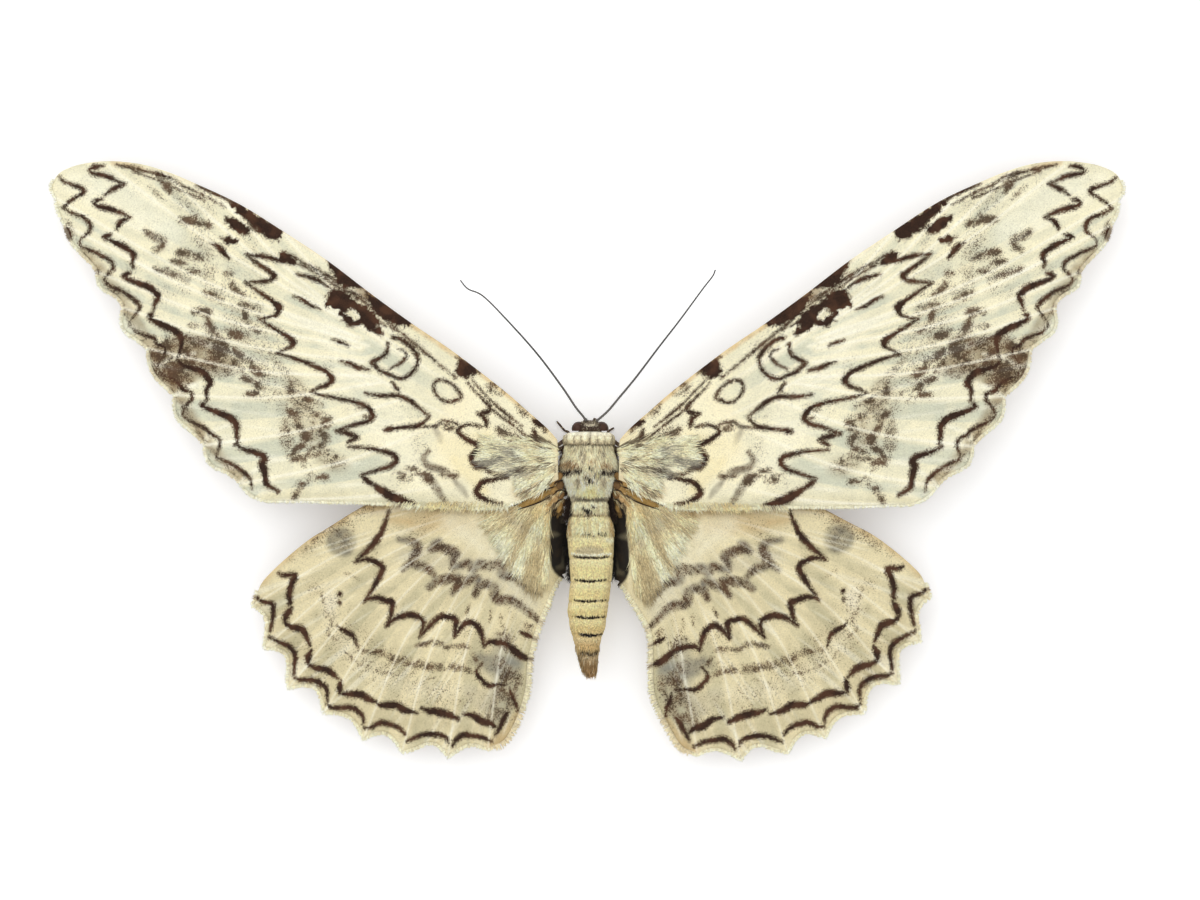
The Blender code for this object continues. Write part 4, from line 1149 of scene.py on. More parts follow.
@dataclass
class Wing:
    """One wing of the moth, from its plan."""

    side: Side
    plan: WingPlan

    def warp(self, places: Array) -> Array:
        """Places on this side's wing for places of the plan, which is the left wing."""
        return places

    def height(self, places: Array) -> Array:
        """Height of the wing's middle layer at places on this side."""
        return forewing_height(places[:, 0])

    def build(self, finish: bpy.types.Material) -> None:
        """Make the closed film with its veins: top and underside lattices joined by a rim.

        Args:
            finish: Material of the scales.
        """
        plan, grid = self.plan, self.plan.lattice
        flat = self.warp(grid.places)
        middle = self.height(flat) + plan.relief
        thin = np.full(len(flat), plan.half_thickness)
        thin[np.unique(grid.rim)] *= plan.rim_share
        x = self.side.value * flat[:, 0]
        top = np.column_stack([x, flat[:, 1], middle + thin])
        low = np.column_stack([x, flat[:, 1], middle - thin])
        n = len(flat)
        rim = np.column_stack([grid.rim[:, 1], grid.rim[:, 0], grid.rim[:, 0] + n, grid.rim[:, 1] + n])
        faces = np.vstack([grid.cells, grid.cells[:, ::-1] + n, rim])
        if self.side is Side.LEFT:
            faces = faces[:, ::-1]
        uv = (grid.places - np.array(plan.uv_origin)) * plan.uv_scale
        both_uv = np.vstack([uv, uv + np.array(plan.under_uv)])
        colour = np.vstack([plan.colour, plan.under])
        fields = {
            "line": np.concatenate([plan.line, np.full(n, OFF_LINE)]),
            "dust": np.concatenate([plan.dust, np.full(n, plan.under_dust)]),
        }
        name = f"{plan.word}_{self.side.word}"
        piece = make_piece(name + "_membrane", np.vstack([top, low]), [faces], both_uv, colour, fields)
        settle(piece, finish, plan.word + "_scales", name)


@dataclass
class Forewing(Wing):
    """Forewing, whose right one is the left one mirrored and a little drifted."""

    drifts: tuple = (
        ((118.0, 72.0), 14.0, (-1.0, 0.0)),
        ((134.0, 66.0), 6.0, (-0.4, -0.3)),
        ((92.0, 67.0), 16.0, (0.0, 0.5)),
        ((66.0, -12.0), 26.0, (0.0, -1.2)),
        ((108.0, 20.0), 16.0, (0.3, -0.3)),
    )

    def warp(self, places: Array) -> Array:
        """The plan's places, drifted on the right."""
        return drifted(places, self.drifts) if self.side is Side.RIGHT else places


@dataclass
class Hindwing(Wing):
    """Hindwing, whose right one is also turned and shifted back a little."""

    turn: float = math.radians(2.6)
    pivot: tuple[float, float] = (8.0, -10.0)
    shift: tuple[float, float] = (0.3, -1.9)
    root_still: float = 4.0
    root_reach: float = 18.0
    drifts: tuple = (
        ((15.0, -56.0), 11.0, (-1.7, 0.0)),
        ((26.0, -73.0), 9.0, (-1.0, -0.3)),
        ((66.5, -64.0), 7.0, (0.0, -0.8)),
        ((84.0, -36.0), 8.0, (0.0, 0.4)),
        ((12.0, -41.0), 7.0, (1.4, 0.0)),
        ((72.0, -26.0), 14.0, (0.3, 0.5)),
    )

    def warp(self, places: Array) -> Array:
        """Places on this side, drifted, turned and shifted on the right, but not near the hinge.

        Args:
            places: Places of the plan.

        Returns:
            The moved places.
        """
        if self.side is Side.LEFT:
            return places
        arm = places - np.array(self.pivot)
        c, s = math.cos(self.turn), math.sin(self.turn)
        turned = np.column_stack([arm[:, 0] * c - arm[:, 1] * s, arm[:, 0] * s + arm[:, 1] * c])
        past = np.hypot(arm[:, 0], arm[:, 1]) - self.root_still
        near = np.clip(past / self.root_reach, 0.0, 1.0)[:, None]
        moved = drifted(places, self.drifts) - places + turned - arm + np.array(self.shift)
        return places + near * moved

    def height(self, places: Array) -> Array:
        """Height of the hindwing's middle layer."""
        return hindwing_height(places[:, 0], places[:, 1])


def forewing_plan() -> WingPlan:
    """Draw the forewing.

    Returns:
        Its plan, with the outline that the CAD has.
    """
    front = (
        (7.4, 4.6), (10.0, 7.6), (15.0, 12.0), (20.0, 16.4), (27.1, 22.0), (35.0, 27.9), (43.9, 33.9),
        (54.1, 41.3), (65.4, 49.9), (76.3, 57.1), (87.1, 63.8), (98.8, 69.3), (105.6, 72.1), (112.3, 74.0),
        (119.4, 74.7), (125.2, 74.3), (129.5, 73.3), (133.0, 71.5), (134.9, 68.5),
    )
    outer = (
        ((134.9, 68.5), 0.4, 0.0), ((133.6, 65.2), 0.6, 0.0), ((131.3, 58.4), 1.0, 0.4),
        ((123.1, 46.6), 1.0, 0.9), ((116.6, 37.6), 2.6, 0.6), ((110.5, 27.4), 1.9, 0.15),
        ((103.7, 15.7), 2.1, 0.7), ((96.2, 3.2), 1.7, 0.9), ((87.3, -6.5), 1.0, 0.0),
        ((80.5, -10.9), 0.0, 0.0),
    )
    rear = (
        (80.5, -10.9), (72.0, -11.0), (60.0, -11.3), (50.0, -11.6), (40.0, -12.2), (31.0, -12.6),
        (24.0, -12.6), (17.5, -11.0), (7.2, -5.4),
    )
    outline = np.vstack([smooth(front, 4)[:-1], lobed(outer, 14)[:-1], smooth(rear, 5)])
    starts = ((57, 30), (58, 29), (57, 27.5), (56, 24), (54, 20.5), (51, 19), (46, 15), (36, 9), (14, -1))
    stem = ((7.4, 1), (24, 12.5), (40, 22), (50, 28))
    lower = ((7.4, -1), (22, 5), (38, 12), (54, 20.5))
    veins = [smooth(stem, 6), smooth(lower, 6)]
    for start, tooth in zip(starts, outer[1:]):
        a, b = np.array(start, float), np.array(tooth[0])
        middle = (a + b) / 2 + 0.04 * np.array((b[1] - a[1], a[0] - b[0]))
        veins.append(smooth((a, middle, b), 6))
    ribs = (((40, 22), (76, 56)), ((50, 28), (92, 65)), ((56, 32), (106, 71)), ((58, 33), (120, 73)))
    for start, end in ribs:
        veins.append(smooth((start, (np.array(start) + end) / 2 + (1.0, -2.0), end), 6))
    return WingPlan(
        "forewing", outline, 0.37, FOREWING_STROKES, FOREWING_BLOTS,
        FOREWING_DUST + tuple(Dust(1.25, 1.5, stroke) for stroke in FOREWING_STIPPLE), FOREWING_TINTS,
        veins, ("FBF3CF", "F0E9C8"), "D3D4BC", (6.0, -14.0), 0.0056,
    )


def hindwing_plan() -> WingPlan:
    """Draw the hindwing.

    Returns:
        Its plan, with the outline that the CAD has.
    """
    shoulder = (
        (6.6, -6.8), (13.0, -4.6), (24.0, -3.6), (36.0, -4.4), (47.0, -7.3), (56.5, -11.7), (65.0, -16.9),
        (70.0, -20.0), (75.0, -24.0), (80.0, -28.6), (82.6, -31.9), (84.2, -36.9),
    )
    scallops = (
        ((84.2, -36.9), -2.2, -0.5), ((81.3, -47.6), -3.4, -0.9), ((75.3, -57.8), -3.9, 0.0),
        ((66.5, -64.0), -2.6, 0.0), ((56.5, -70.5), -3.05, -0.1), ((46.8, -73.8), -2.6, 0.8),
        ((35.3, -75.1), -1.9, 0.2), ((25.3, -73.2), 0.0, 0.0),
    )
    inner = (
        (25.3, -73.2), (21.0, -71.2), (18.3, -67.0), (16.2, -61.5), (15.2, -57.0), (14.9, -52.0),
        (13.8, -46.5), (12.4, -42.0), (10.9, -38.2), (9.4, -34.6), (7.9, -31.6), (6.2, -29.4),
        (5.3, -28.8), (5.3, -21.0), (6.3, -13.3),
    )
    outline = np.vstack([smooth(shoulder, 4)[:-1], lobed(scallops, 14)[:-1], smooth(inner, 4)])
    veins = [smooth(((6.6, -9), (20, -13), (34, -18)), 6)]
    starts = ((36, -15), (36, -17), (35, -19), (33, -21), (30, -22), (26, -22), (20, -20), (10, -13))
    for start, tooth in zip(starts, scallops):
        a, b = np.array(start, float), np.array(tooth[0])
        middle = (a + b) / 2 + 0.05 * np.array((a[1] - b[1], b[0] - a[0]))
        veins.append(smooth((a, middle, b), 6))
    return WingPlan(
        "hindwing", outline, 0.30, HINDWING_STROKES, (),
        HINDWING_DUST + tuple(Dust(0.85, 1.1, stroke) for stroke in HINDWING_BANDS),
        HINDWING_TINTS + tuple(Tint("63605A", 0.92, 1.2, stroke) for stroke in HINDWING_BANDS),
        veins, ("E9DCB2", "DCCFA6"), "C6BD98", (4.5, -77.0), 0.0066, 0.25,
    )


@dataclass
class Shell:
    """Closed surfaces as arrays: places, faces, a UV place for each corner, and colours."""

    points: Array
    faces: list[Array]
    corners: Array
    colour: Array

    @staticmethod
    def joined(parts: list[Shell]) -> Shell:
        """Shells as one, each on its own strip of the UV map.

        Args:
            parts: Shells to join.

        Returns:
            One shell with the parts' faces, quads and triangles in one row of arrays.
        """
        starts = np.cumsum([0] + [len(p.points) for p in parts])
        faces, corners = [], []
        for number, (part, start) in enumerate(zip(parts, starts)):
            faces += [f + start for f in part.faces]
            corners.append((part.corners + (0.0, number)) / (1.0, len(parts)))
        points = np.vstack([p.points for p in parts])
        return Shell(points, faces, np.vstack(corners), np.vstack([p.colour for p in parts]))

    def piece(self, name: str) -> bpy.types.Object:
        """Object of the shell."""
        return make_piece(name, self.points, self.faces, self.corners, self.colour)


def lathe_shell(rings: Array, poles: Array, colour: Array) -> Shell:
    """Closed skin over a row of rings, with a pole at each end.

    Args:
        rings: Places as rows x points around x 3, turning from the second to the third axis of a
            right-handed set whose first axis runs along the rows.
        poles: The two end places.
        colour: Colour of each ring's points, rows x points around x 3.

    Returns:
        The shell. Its UV map is the ring's number across the turn's share, with a 2 % margin.
    """
    rows, around = rings.shape[:2]
    k, j = np.meshgrid(np.arange(rows - 1), np.arange(around), indexing="ij")
    k, j = k.ravel(), j.ravel()
    nxt = (j + 1) % around
    quads = np.column_stack([k * around + j, k * around + nxt, (k + 1) * around + nxt, (k + 1) * around + j])
    at = np.arange(around)
    front = np.column_stack([np.full(around, rows * around), (at + 1) % around, at])
    base = (rows - 1) * around
    back = np.column_stack([np.full(around, rows * around + 1), base + at, base + (at + 1) % around])
    across = UV_EDGE + UV_SPAN * np.stack([j, j + 1, j + 1, j], axis=1) / around
    along = UV_EDGE + UV_SPAN * (np.stack([k, k, k + 1, k + 1], axis=1) + 0.5) / rows
    quad_uv = np.stack([across, along], axis=2).reshape(-1, 2)
    turn = UV_EDGE + UV_SPAN * np.stack([at + 0.5, at + 1, at], axis=1) / around
    first = UV_EDGE + 0.5 * UV_SPAN / rows
    low = np.tile((UV_EDGE, first, first), (around, 1))
    front_uv = np.stack([turn, low], axis=2).reshape(-1, 2)
    back_uv = np.stack([turn[:, [0, 2, 1]], 1.0 - low], axis=2).reshape(-1, 2)
    points = np.vstack([rings.reshape(-1, 3), poles])
    shades = np.vstack([colour.reshape(-1, 3), colour[0, :1], colour[-1, :1]])
    return Shell(points, [quads, front, back], np.vstack([quad_uv, front_uv, back_uv]), shades)


def tube(path: Array, radii: Array, colour: Array, around: int = 12, floor: bool = False) -> Shell:
    """Round skin carried along a path: path + r (n cos a + b sin a), with n and b across the path.

    Args:
        path: Places along the middle.
        radii: Radius at each place.
        colour: Colour at each place.
        around: Points in each ring.
        floor: Whether what would be below the floor is flattened on it.

    Returns:
        The closed shell.
    """
    t = np.gradient(path, axis=0)
    t /= np.linalg.norm(t, axis=1)[:, None]
    n = np.zeros_like(t)
    n[0] = np.cross(t[0], (0.31, 0.17, 0.93))
    n[0] /= np.linalg.norm(n[0])
    for k in range(1, len(t)):
        n[k] = n[k - 1] - t[k] * (n[k - 1] @ t[k])
        n[k] /= np.linalg.norm(n[k])
    b = np.cross(t, n)
    turn = FULL_TURN * np.arange(around) / around
    spokes = n[:, None] * np.cos(turn)[:, None] + b[:, None] * np.sin(turn)[:, None]
    rings = path[:, None] + np.asarray(radii)[:, None, None] * spokes
    poles = np.vstack([path[0] - 0.35 * radii[0] * t[0], path[-1] + 0.35 * radii[-1] * t[-1]])
    if floor:
        rings[..., 2] = np.maximum(rings[..., 2], 0.0)
        poles[:, 2] = np.maximum(poles[:, 2], 0.02)
    return lathe_shell(rings, poles, np.repeat(np.asarray(colour)[:, None], around, axis=1))


class Cut(Enum):
    """Shape of a lock: shares of its length, and its width at each as a share of the full width."""

    HAIR = ((0.0, 0.34, 0.70), (0.70, 1.0, 0.72))
    SHORT = ((0.0, 0.60), (0.75, 1.0))
    SCALE = ((0.0, 0.60), (0.80, 1.0))


def ball_points(tilt: Array, around: int) -> Array:
    """Places on a ball of radius one, (sin a cos b, sin a sin b, cos a).

    Args:
        tilt: Angle a of each ring from the top.
        around: Points in each ring, at even angles b.

    Returns:
        Places as rings x points x 3.
    """
    turn = FULL_TURN * np.arange(around) / around
    s, c = np.sin(tilt)[:, None], np.cos(tilt)[:, None]
    return np.stack(np.broadcast_arrays(s * np.cos(turn), s * np.sin(turn), c), axis=2)


@dataclass
class Tufts:
    """Locks of hair-scales: each a three-sided spike along root + L t lie + L (lift t - sag t^2) up."""

    root: Array
    lie: Array
    up: Array
    length: Array
    width: Array
    colour: Array
    uv: Array
    lift: Array
    curl: Array
    cut: Cut = Cut.HAIR
    sag: float = 0.25
    sunk: float = 0.02
    ridge: float = 0.8
    patch: float = 0.003
    # Painted light on each lock: its colour is raised less at the root than at the tip, painting shade at
    # the roots, and its top ridge is lighter than its side edges, painting light from above.
    root_shade: float = 1.10
    tip_painted_light: float = 0.32
    ridge_shade: float = 1.06
    edge_shade: float = 0.92

    def shell(self) -> Shell:
        """All locks as one mesh of triangles and quads.

        Returns:
            The shell, whose UV patch for each lock is 0.003 across at its root's place.
        """
        side = np.cross(self.lie, self.up)
        side /= np.linalg.norm(side, axis=1)[:, None]
        stations, swell = self.cut.value
        n, m = len(self.root), len(stations)
        rows, shades, patches = [], [], []
        for t, wide in zip(stations + (1.0,), swell + (0.0,)):
            rise = (self.lift * t - self.sag * np.abs(self.lift) * t * t - self.sunk * (t == 0.0))[:, None]
            bend = (self.curl * t * t)[:, None]
            middle = self.root + self.length[:, None] * (t * self.lie + rise * self.up + bend * side)
            half = 0.5 * wide * self.width[:, None]
            # Painted shade: each lock is darker at its root than at its tip
            shade = self.colour * (self.root_shade + self.tip_painted_light * t)
            corner = self.uv + np.array((0.0, self.patch * (t - 0.5)))
            if wide == 0.0:
                rows.append(middle)
                shades.append(shade)
                patches.append(corner)
                break
            # Painted light from above: the top ridge lighter, the side edges darker
            for across, high in ((-1.0, 0.0), (1.0, 0.0), (0.0, self.ridge)):
                rows.append(middle + half * (across * side + high * self.up))
                shades.append(shade * (self.ridge_shade if high else self.edge_shade))
                patches.append(corner + np.array((0.5 * self.patch * across, 0.0)))
        each = 3 * m + 1
        points = np.stack(rows, axis=1).reshape(-1, 3)
        quads = []
        for k in range(m - 1):
            a, b = 3 * k, 3 * k + 3
            quads += [(a + 1, b + 1, b + 2, a + 2), (a, a + 2, b + 2, b), (a, b, b + 1, a + 1)]
        a, tip = 3 * (m - 1), 3 * m
        tris = [(0, 1, 2), (a + 1, tip, a + 2), (a, a + 2, tip), (a, tip, a + 1)]
        offsets = (np.arange(n) * each)[:, None, None]
        faces = [(offsets + np.array(f)).reshape(-1, len(f[0])) for f in (quads, tris)]
        uv = np.stack(patches, axis=1).reshape(-1, 2)
        corners = np.vstack([uv[f.ravel()] for f in faces])
        return Shell(points, faces, corners, np.stack(shades, axis=1).reshape(-1, 3))


def unit(vectors: Array) -> Array:
    """Vectors brought to length one."""
    return vectors / (np.linalg.norm(vectors, axis=1)[:, None] + 1e-12)


# Colours of the body's back from the head to the tip, each with its v
BACK_COLOURS = (
    (9.4, "43332A"), (6.7, "4C3D33"), (6.45, "FBF5DC"), (5.6, "F5ECCF"), (4.4, "D3C7A2"), (3.6, "9A8B70"),
    (2.9, "D6CBA8"), (1.2, "E9DDB6"), (-1.0, "E0D2AA"), (-3.0, "EDE0BA"), (-5.5, "FAEBC6"),
    (-8.6, "EDDFAC"), (-9.7, "9A927A"), (-10.6, "55493C"), (-11.0, "EFE5C0"), (-13.2, "E6DAB0"),
    (-13.9, "8A6A45"), (-14.6, "E3D4A4"), (-18.0, "F0E2B4"), (-19.4, "E6D6A2"), (-30.0, "E7D6A0"),
    (-42.0, "E0CC92"), (-48.0, "C8AC78"), (-50.0, "A3865C"), (-55.0, "94744C"),
)
BODY_TINTS = (
    stain("8E8270", 0.75, 0.4, 1.2, -0.9, 8.5, 2.2, 8.5),
    stain("D8CDB4", 0.85, 0.3, 0.45, -0.8, 8, 2, 8),
    # Collar: grey painted shade in the folds of its lower half, dark shoulders, and dark painted shade in
    # the crease behind it
    *(stain("7E745F", 0.85, 0.3, 0.4, *path) for path in (
        (-5.4, 5, -5.2, 3.9), (-3.6, 5.1, -3.5, 3.8), (-1.8, 5, -1.8, 3.8), (2.2, 5, 2.2, 3.8),
        (4, 5.1, 3.9, 3.8), (5.8, 5, 5.6, 3.9),
    )),
    strip("6A5D4C", 0.8, 0.2, 0.25, 0.45, 6.3, 0.4, 4),
    *(stain("4A3B30", 0.85, 0.5, 0.9, *path) for path in ((-6.9, 6.2, -6.9, 4.4), (7.1, 6, 7, 4.4))),
    *(stain("3A3029", 0.85, 0.35, 0.6, *path) for path in (
        (-4.9, 3.3, -3.2, 3.2), (-1.6, 3.3, 0.2, 3.4, 1.4, 3.2), (3.4, 3.2, 5.2, 3.3),
    )),
    # Thorax: pale tufts, brown patches, dark bars, centre spots
    stain("EFE0B6", 0.85, 0.9, 1.8, -4.9, 2.2, -4.3, 0.2),
    stain("F2E4BC", 0.9, 0.9, 2.2, 5.4, 1.6, 6.4, -1.6),
    stain("7E7665", 0.85, 0.6, 0.9, -1.6, 1.8, -1.2, -1.2),
    stain("7E7665", 0.8, 0.8, 1.1, 3.2, 2, 3.4, 0.4),
    stain("54483C", 0.75, 0.35, 0.6, -5.9, 1.9, -5.2, 1.4),
    stain("54483C", 0.75, 0.35, 0.5, -1, 1.7, -0.7, 1.2),
    stain("8D6E48", 0.85, 0.8, 1.7, -5.8, -1.2, -4, -1.3, -2.8, -1.6),
    stain("8D6E48", 0.85, 0.6, 1.3, 3, -1.3, 4.8, -1.5),
    stain("A0825A", 0.85, 0.5, 1, 0.2, -0.5, 1.6, -0.7),
    strip("2B221D", 1.1, 0.35, 1.1, -7.3, -2.9, -5.2, -3.1, -2.2, -2.7),
    strip("2B221D", 1.1, 0.35, 1.1, 3.4, -2.8, 4.9, -3.1, 6.3, -2.9),
    stain("FBEECB", 0.95, 0.8, 2, -5.2, -4.6, -4.4, -6.6, -3.4, -9),
    stain("FBEECB", 0.95, 0.8, 2, 5.9, -4.6, 5.2, -6.6, 4.4, -8.6),
    stain("857D6A", 0.85, 0.6, 1, -2.6, -4.6, -2.4, -6.6),
    stain("857D6A", 0.8, 0.6, 1, 3.6, -4.4, 3.4, -6.6),
    strip("16110E", 1.2, 0.15, 0.75, 0.55, -2.3, 0.65, -2.3),
    strip("16110E", 1, 0.2, 0.35, 2, -3.2, 2.7, -3.9, 2, -4.7, 1.3, -3.9, 2, -3.2),
    strip("E9DCA8", 0.95, 0.2, 0.7, 2, -3.95, 2.05, -3.95),
    stain("2E2620", 1.05, 0.25, 0.8, -1.1, -4.2, -0.2, -4.6, 0.4, -5.6),
    stain("2E2620", 1.05, 0.2, 0.5, 0.7, -4.9, 1.3, -5.8),
    stain("2E2620", 1.05, 0.2, 0.4, -0.8, -5.4, -0.5, -5.8),
    stain("EADB9E", 0.85, 1, 2.6, 0.4, -7, 0.4, -8.8),
    stain("6F6757", 0.9, 0.4, 0.7, -3.8, -8.9, -1.6, -9.6, 0.6, -9.9, 3, -9.6, 4.9, -8.9),
    # Waist: dark flanks, black spot between two cream tufts
    strip("16120F", 1.1, 0.25, 1.1, -0.3, -12.7, 0.2, -12.9),
    strip("2A2420", 1, 0.2, 0.5, 1, -11.5, 1.3, -11.7),
    strip("2A2420", 1, 0.2, 0.5, -1.2, -12, -0.9, -12.3),
    strip("2F2722", 1, 0.7, 1.9, -5.4, -10.2, -4.6, -13.6),
    strip("2F2722", 1, 0.7, 1.9, 5.9, -10.2, 5.6, -13.6),
    stain("3E2A1B", 0.9, 0.3, 0.5, -2.6, -14.1, -1.2, -13.7, 0.4, -14.2, 2.2, -13.8, 3.2, -14.2),
    # Abdomen: tan sides of its first ring, soft marks, a painted highlight on its second ring, and the dark
    # rim of each ring
    strip("B39158", 0.8, 0.6, 1.3, -5.2, -14.6, -4.9, -18.6),
    strip("B39158", 0.8, 0.6, 1.3, 6.1, -14.6, 5.9, -18.6),
    stain("8A8578", 0.55, 0.8, 1.8, -2.6, -23.2, 0.4, -23.4, 3.2, -23.1),
    # Painted highlight on the right of the second ring
    stain("F3E8C4", 0.85, 0.7, 1.2, 4.4, -20.4, 6, -20.9),
    strip("F6EFD2", 0.95, 0.2, 0.35, -4.2, -24, 0.6, -24.3, 5.6, -24),
    *(stain("1F1814", 1.1, *rim) for rim in (
        (0.18, 0.5, -1.5, -18.8, 0.2, -18.9, 1.6, -18.8), (0.18, 0.45, 2.2, -18.7, 4.2, -18.6),
        (0.18, 0.5, -3.6, -24.7, -1, -25, 1.8, -25, 5, -24.7),
        (0.18, 0.5, -3.4, -30.5, -1, -30.8, 1.6, -30.8, 4.6, -30.5),
        (0.18, 0.5, -3.4, -35.6, -1, -35.9, 1.2, -35.9, 4.2, -35.6),
        (0.18, 0.55, -3.2, -39.7, -1, -40, 1.2, -40, 4, -39.7),
        (0.2, 0.6, -2.4, -44.1, -0.6, -44.4, 1.4, -44.4, 3.2, -44.1),
        (0.2, 0.65, -2.3, -48.2, -0.4, -48.5, 1.2, -48.5, 2.4, -48.2),
    )),
    stain("3A2E25", 0.9, 0.4, 1, -2.9, -49, -2.6, -50.2),
)


@dataclass
class Body:
    """Skin of the head, collar, thorax, waist and abdomen, and the hair-scales over it."""

    # v, middle x, middle z, half width and half height of the solids, and how deep the coat is
    stations: tuple = (
        (9.12, 0.40, 9.30, 0.60, 0.60, 0.10), (8.95, 0.40, 9.30, 1.48, 1.46, 0.15),
        (8.50, 0.40, 9.30, 2.34, 2.30, 0.15), (7.90, 0.40, 9.30, 2.88, 2.84, 0.20),
        (7.15, 0.40, 9.30, 3.10, 3.05, 0.20), (6.62, 0.40, 9.35, 3.00, 3.00, 0.20),
        (6.46, 0.30, 9.60, 3.30, 3.20, 0.20), (6.34, 0.20, 9.90, 5.60, 4.60, 0.40),
        (5.60, 0.10, 9.90, 6.90, 5.60, 0.55), (3.80, 0.10, 9.90, 6.90, 5.90, 0.60),
        (3.10, 0.15, 9.90, 6.90, 5.95, 1.25), (1.20, 0.15, 9.90, 7.05, 6.30, 1.15),
        (-1.00, 0.15, 9.90, 7.15, 6.50, 0.70), (-3.50, 0.10, 9.90, 6.95, 6.40, 0.75),
        (-5.50, 0.15, 9.90, 6.40, 6.20, 0.90), (-7.50, 0.25, 9.90, 5.75, 5.80, 0.95),
        (-9.00, 0.35, 9.80, 5.20, 5.40, 0.85), (-10.40, 0.30, 9.60, 4.80, 5.00, 0.55),
        (-13.50, 0.30, 9.30, 5.20, 4.80, 0.50),
        (-16.00, 0.50, 9.20, 5.80, 5.00, 0.45), (-20.00, 0.55, 9.10, 6.05, 5.10, 0.32),
        (-25.00, 0.70, 8.90, 5.75, 5.00, 0.30), (-30.00, 0.65, 8.70, 5.35, 4.80, 0.30),
        (-35.00, 0.10, 8.40, 5.30, 4.60, 0.30), (-38.00, -0.25, 8.20, 5.25, 4.50, 0.30),
        (-42.00, -0.25, 8.00, 4.65, 4.10, 0.28), (-45.00, -0.35, 7.80, 3.70, 3.50, 0.25),
        (-48.00, -0.20, 7.60, 2.80, 2.90, 0.22), (-50.50, 0.00, 7.50, 2.35, 2.40, 0.20),
        (-52.50, 0.25, 7.40, 1.90, 1.90, 0.18), (-54.00, 0.60, 7.30, 1.10, 1.20, 0.10),
        (-54.90, 0.83, 7.25, 0.40, 0.45, 0.05),
    )
    # v of the tucks between the rings of the abdomen
    bands: tuple = (-13.6, -18.9, -24.9, -30.8, -35.8, -39.9, -44.3, -48.4)
    front: float = 9.12
    rear: float = -54.9
    poles: tuple = ((0.40, 9.2, 9.30), (0.86, -55.0, 7.25))
    rows: int = 320
    around: int = 96
    skin_shade: float = 0.95
    # Colours of the painted highlight on each ring, and of the brown flanks, which also paint the shade down
    # the sides
    ring_highlight: str = "FBF2D0"
    flank: str = "8C7A55"
    belly: str = "CDBF9C"
    silver: str = "FBF0CC"

    def place(self, v: Array, turn: Array) -> tuple[Array, Array]:
        """Places and outward directions on the skin.

        Args:
            v: Place along the body.
            turn: Angle round it from the top, to the right.

        Returns:
            The middle + half width x sin, half height x cos, less the coat's depth, and the
            direction (sin / width, 0, cos / height) brought to length one.
        """
        table = np.array(self.stations)[::-1]
        x, z, wide, high, coat = (np.interp(v, table[:, 0], table[:, k]) for k in range(1, 6))
        tuck = sum(np.exp(-(((v - band) / 0.42) ** 2)) for band in self.bands)
        wide = (wide - coat) * (1.0 - 0.035 * tuck)
        high = (high - coat) * (1.0 - 0.035 * tuck)
        notch = 0.5 * np.exp(-((turn / 0.07) ** 2)) * ramp(v, 3.2, 3.8) * ramp(-v, -6.5, -6.1)
        high = high - notch
        s, c = np.sin(turn), np.cos(turn)
        points = np.column_stack([x + wide * s, v, z + high * c])
        outward = unit(np.column_stack([s / wide, np.zeros(len(v)), c / high]))
        return points, outward

    def colours(self, points: Array, outward: Array) -> Array:
        """Colour of the coat at places on the body, with the back's markings fading down the sides, the
        sides browner and darker as brown flanks and painted shade, and a painted highlight on each ring.

        Args:
            points: Places on the skin.
            outward: Outward directions there.

        Returns:
            Linear colours.
        """
        v = points[:, 1]
        at = np.array([k[0] for k in BACK_COLOURS])[::-1]
        shades = np.array([linear(k[1]) for k in BACK_COLOURS])[::-1]
        colour = np.column_stack([np.interp(v, at, shades[:, k]) for k in range(3)])
        flat = points[:, :2]
        streak = grain(flat * (2.2, 0.5), 1.0, 11) * 0.6 + grain(flat * (3.5, 1.2), 1.0, 12) * 0.4
        rough = 0.80 - 0.54 * ramp(-v, 18.0, 20.0)
        colour = colour * (1.05 + rough * (streak - 0.55))[:, None]
        # Painted highlight on the swell of each ring, just behind its tuck
        ring = sum(np.exp(-(((v - band + 1.3) / 0.9) ** 2)) for band in self.bands[1:])
        colour = wash(colour, linear(self.ring_highlight), 0.22 * ring)
        # Browner and darker down the sides and underneath: brown flanks and painted shade
        back = ramp(outward[:, 2], 0.02, 0.30)
        browned_and_shaded = 0.60 * (1.0 - back) + 0.30 * ramp(-outward[:, 2], -0.85, -0.3) * back
        side = wash(colour, linear(self.flank), browned_and_shaded)
        belly = wash(side, linear(self.belly), ramp(-outward[:, 2], 0.2, 0.7) * ramp(-v, -6.4, -6.0))
        for tint in BODY_TINTS:
            near, gap = paint(flat, tint.shape, tint.soft + 1.5)
            ragged = gap + 0.30 * (grain(flat[near], 0.35, 13) - 0.5)
            share = tint.share * ramp(ragged, -tint.soft, 0.4 * tint.soft) * back[near]
            belly[near] = wash(belly[near], linear(tint.colour), np.clip(share, 0.0, 1.0))
        return belly

    def uv(self, v: Array, turn: Array) -> Array:
        """Place on the skin's unwrap.

        Args:
            v: Place along the body.
            turn: Angle round it from the top, to the right.

        Returns:
            Texture coordinates.
        """
        row = (self.front - v) / (self.front - self.rear)
        return UV_EDGE + UV_SPAN * np.column_stack([(-turn / FULL_TURN) % 1.0, row])

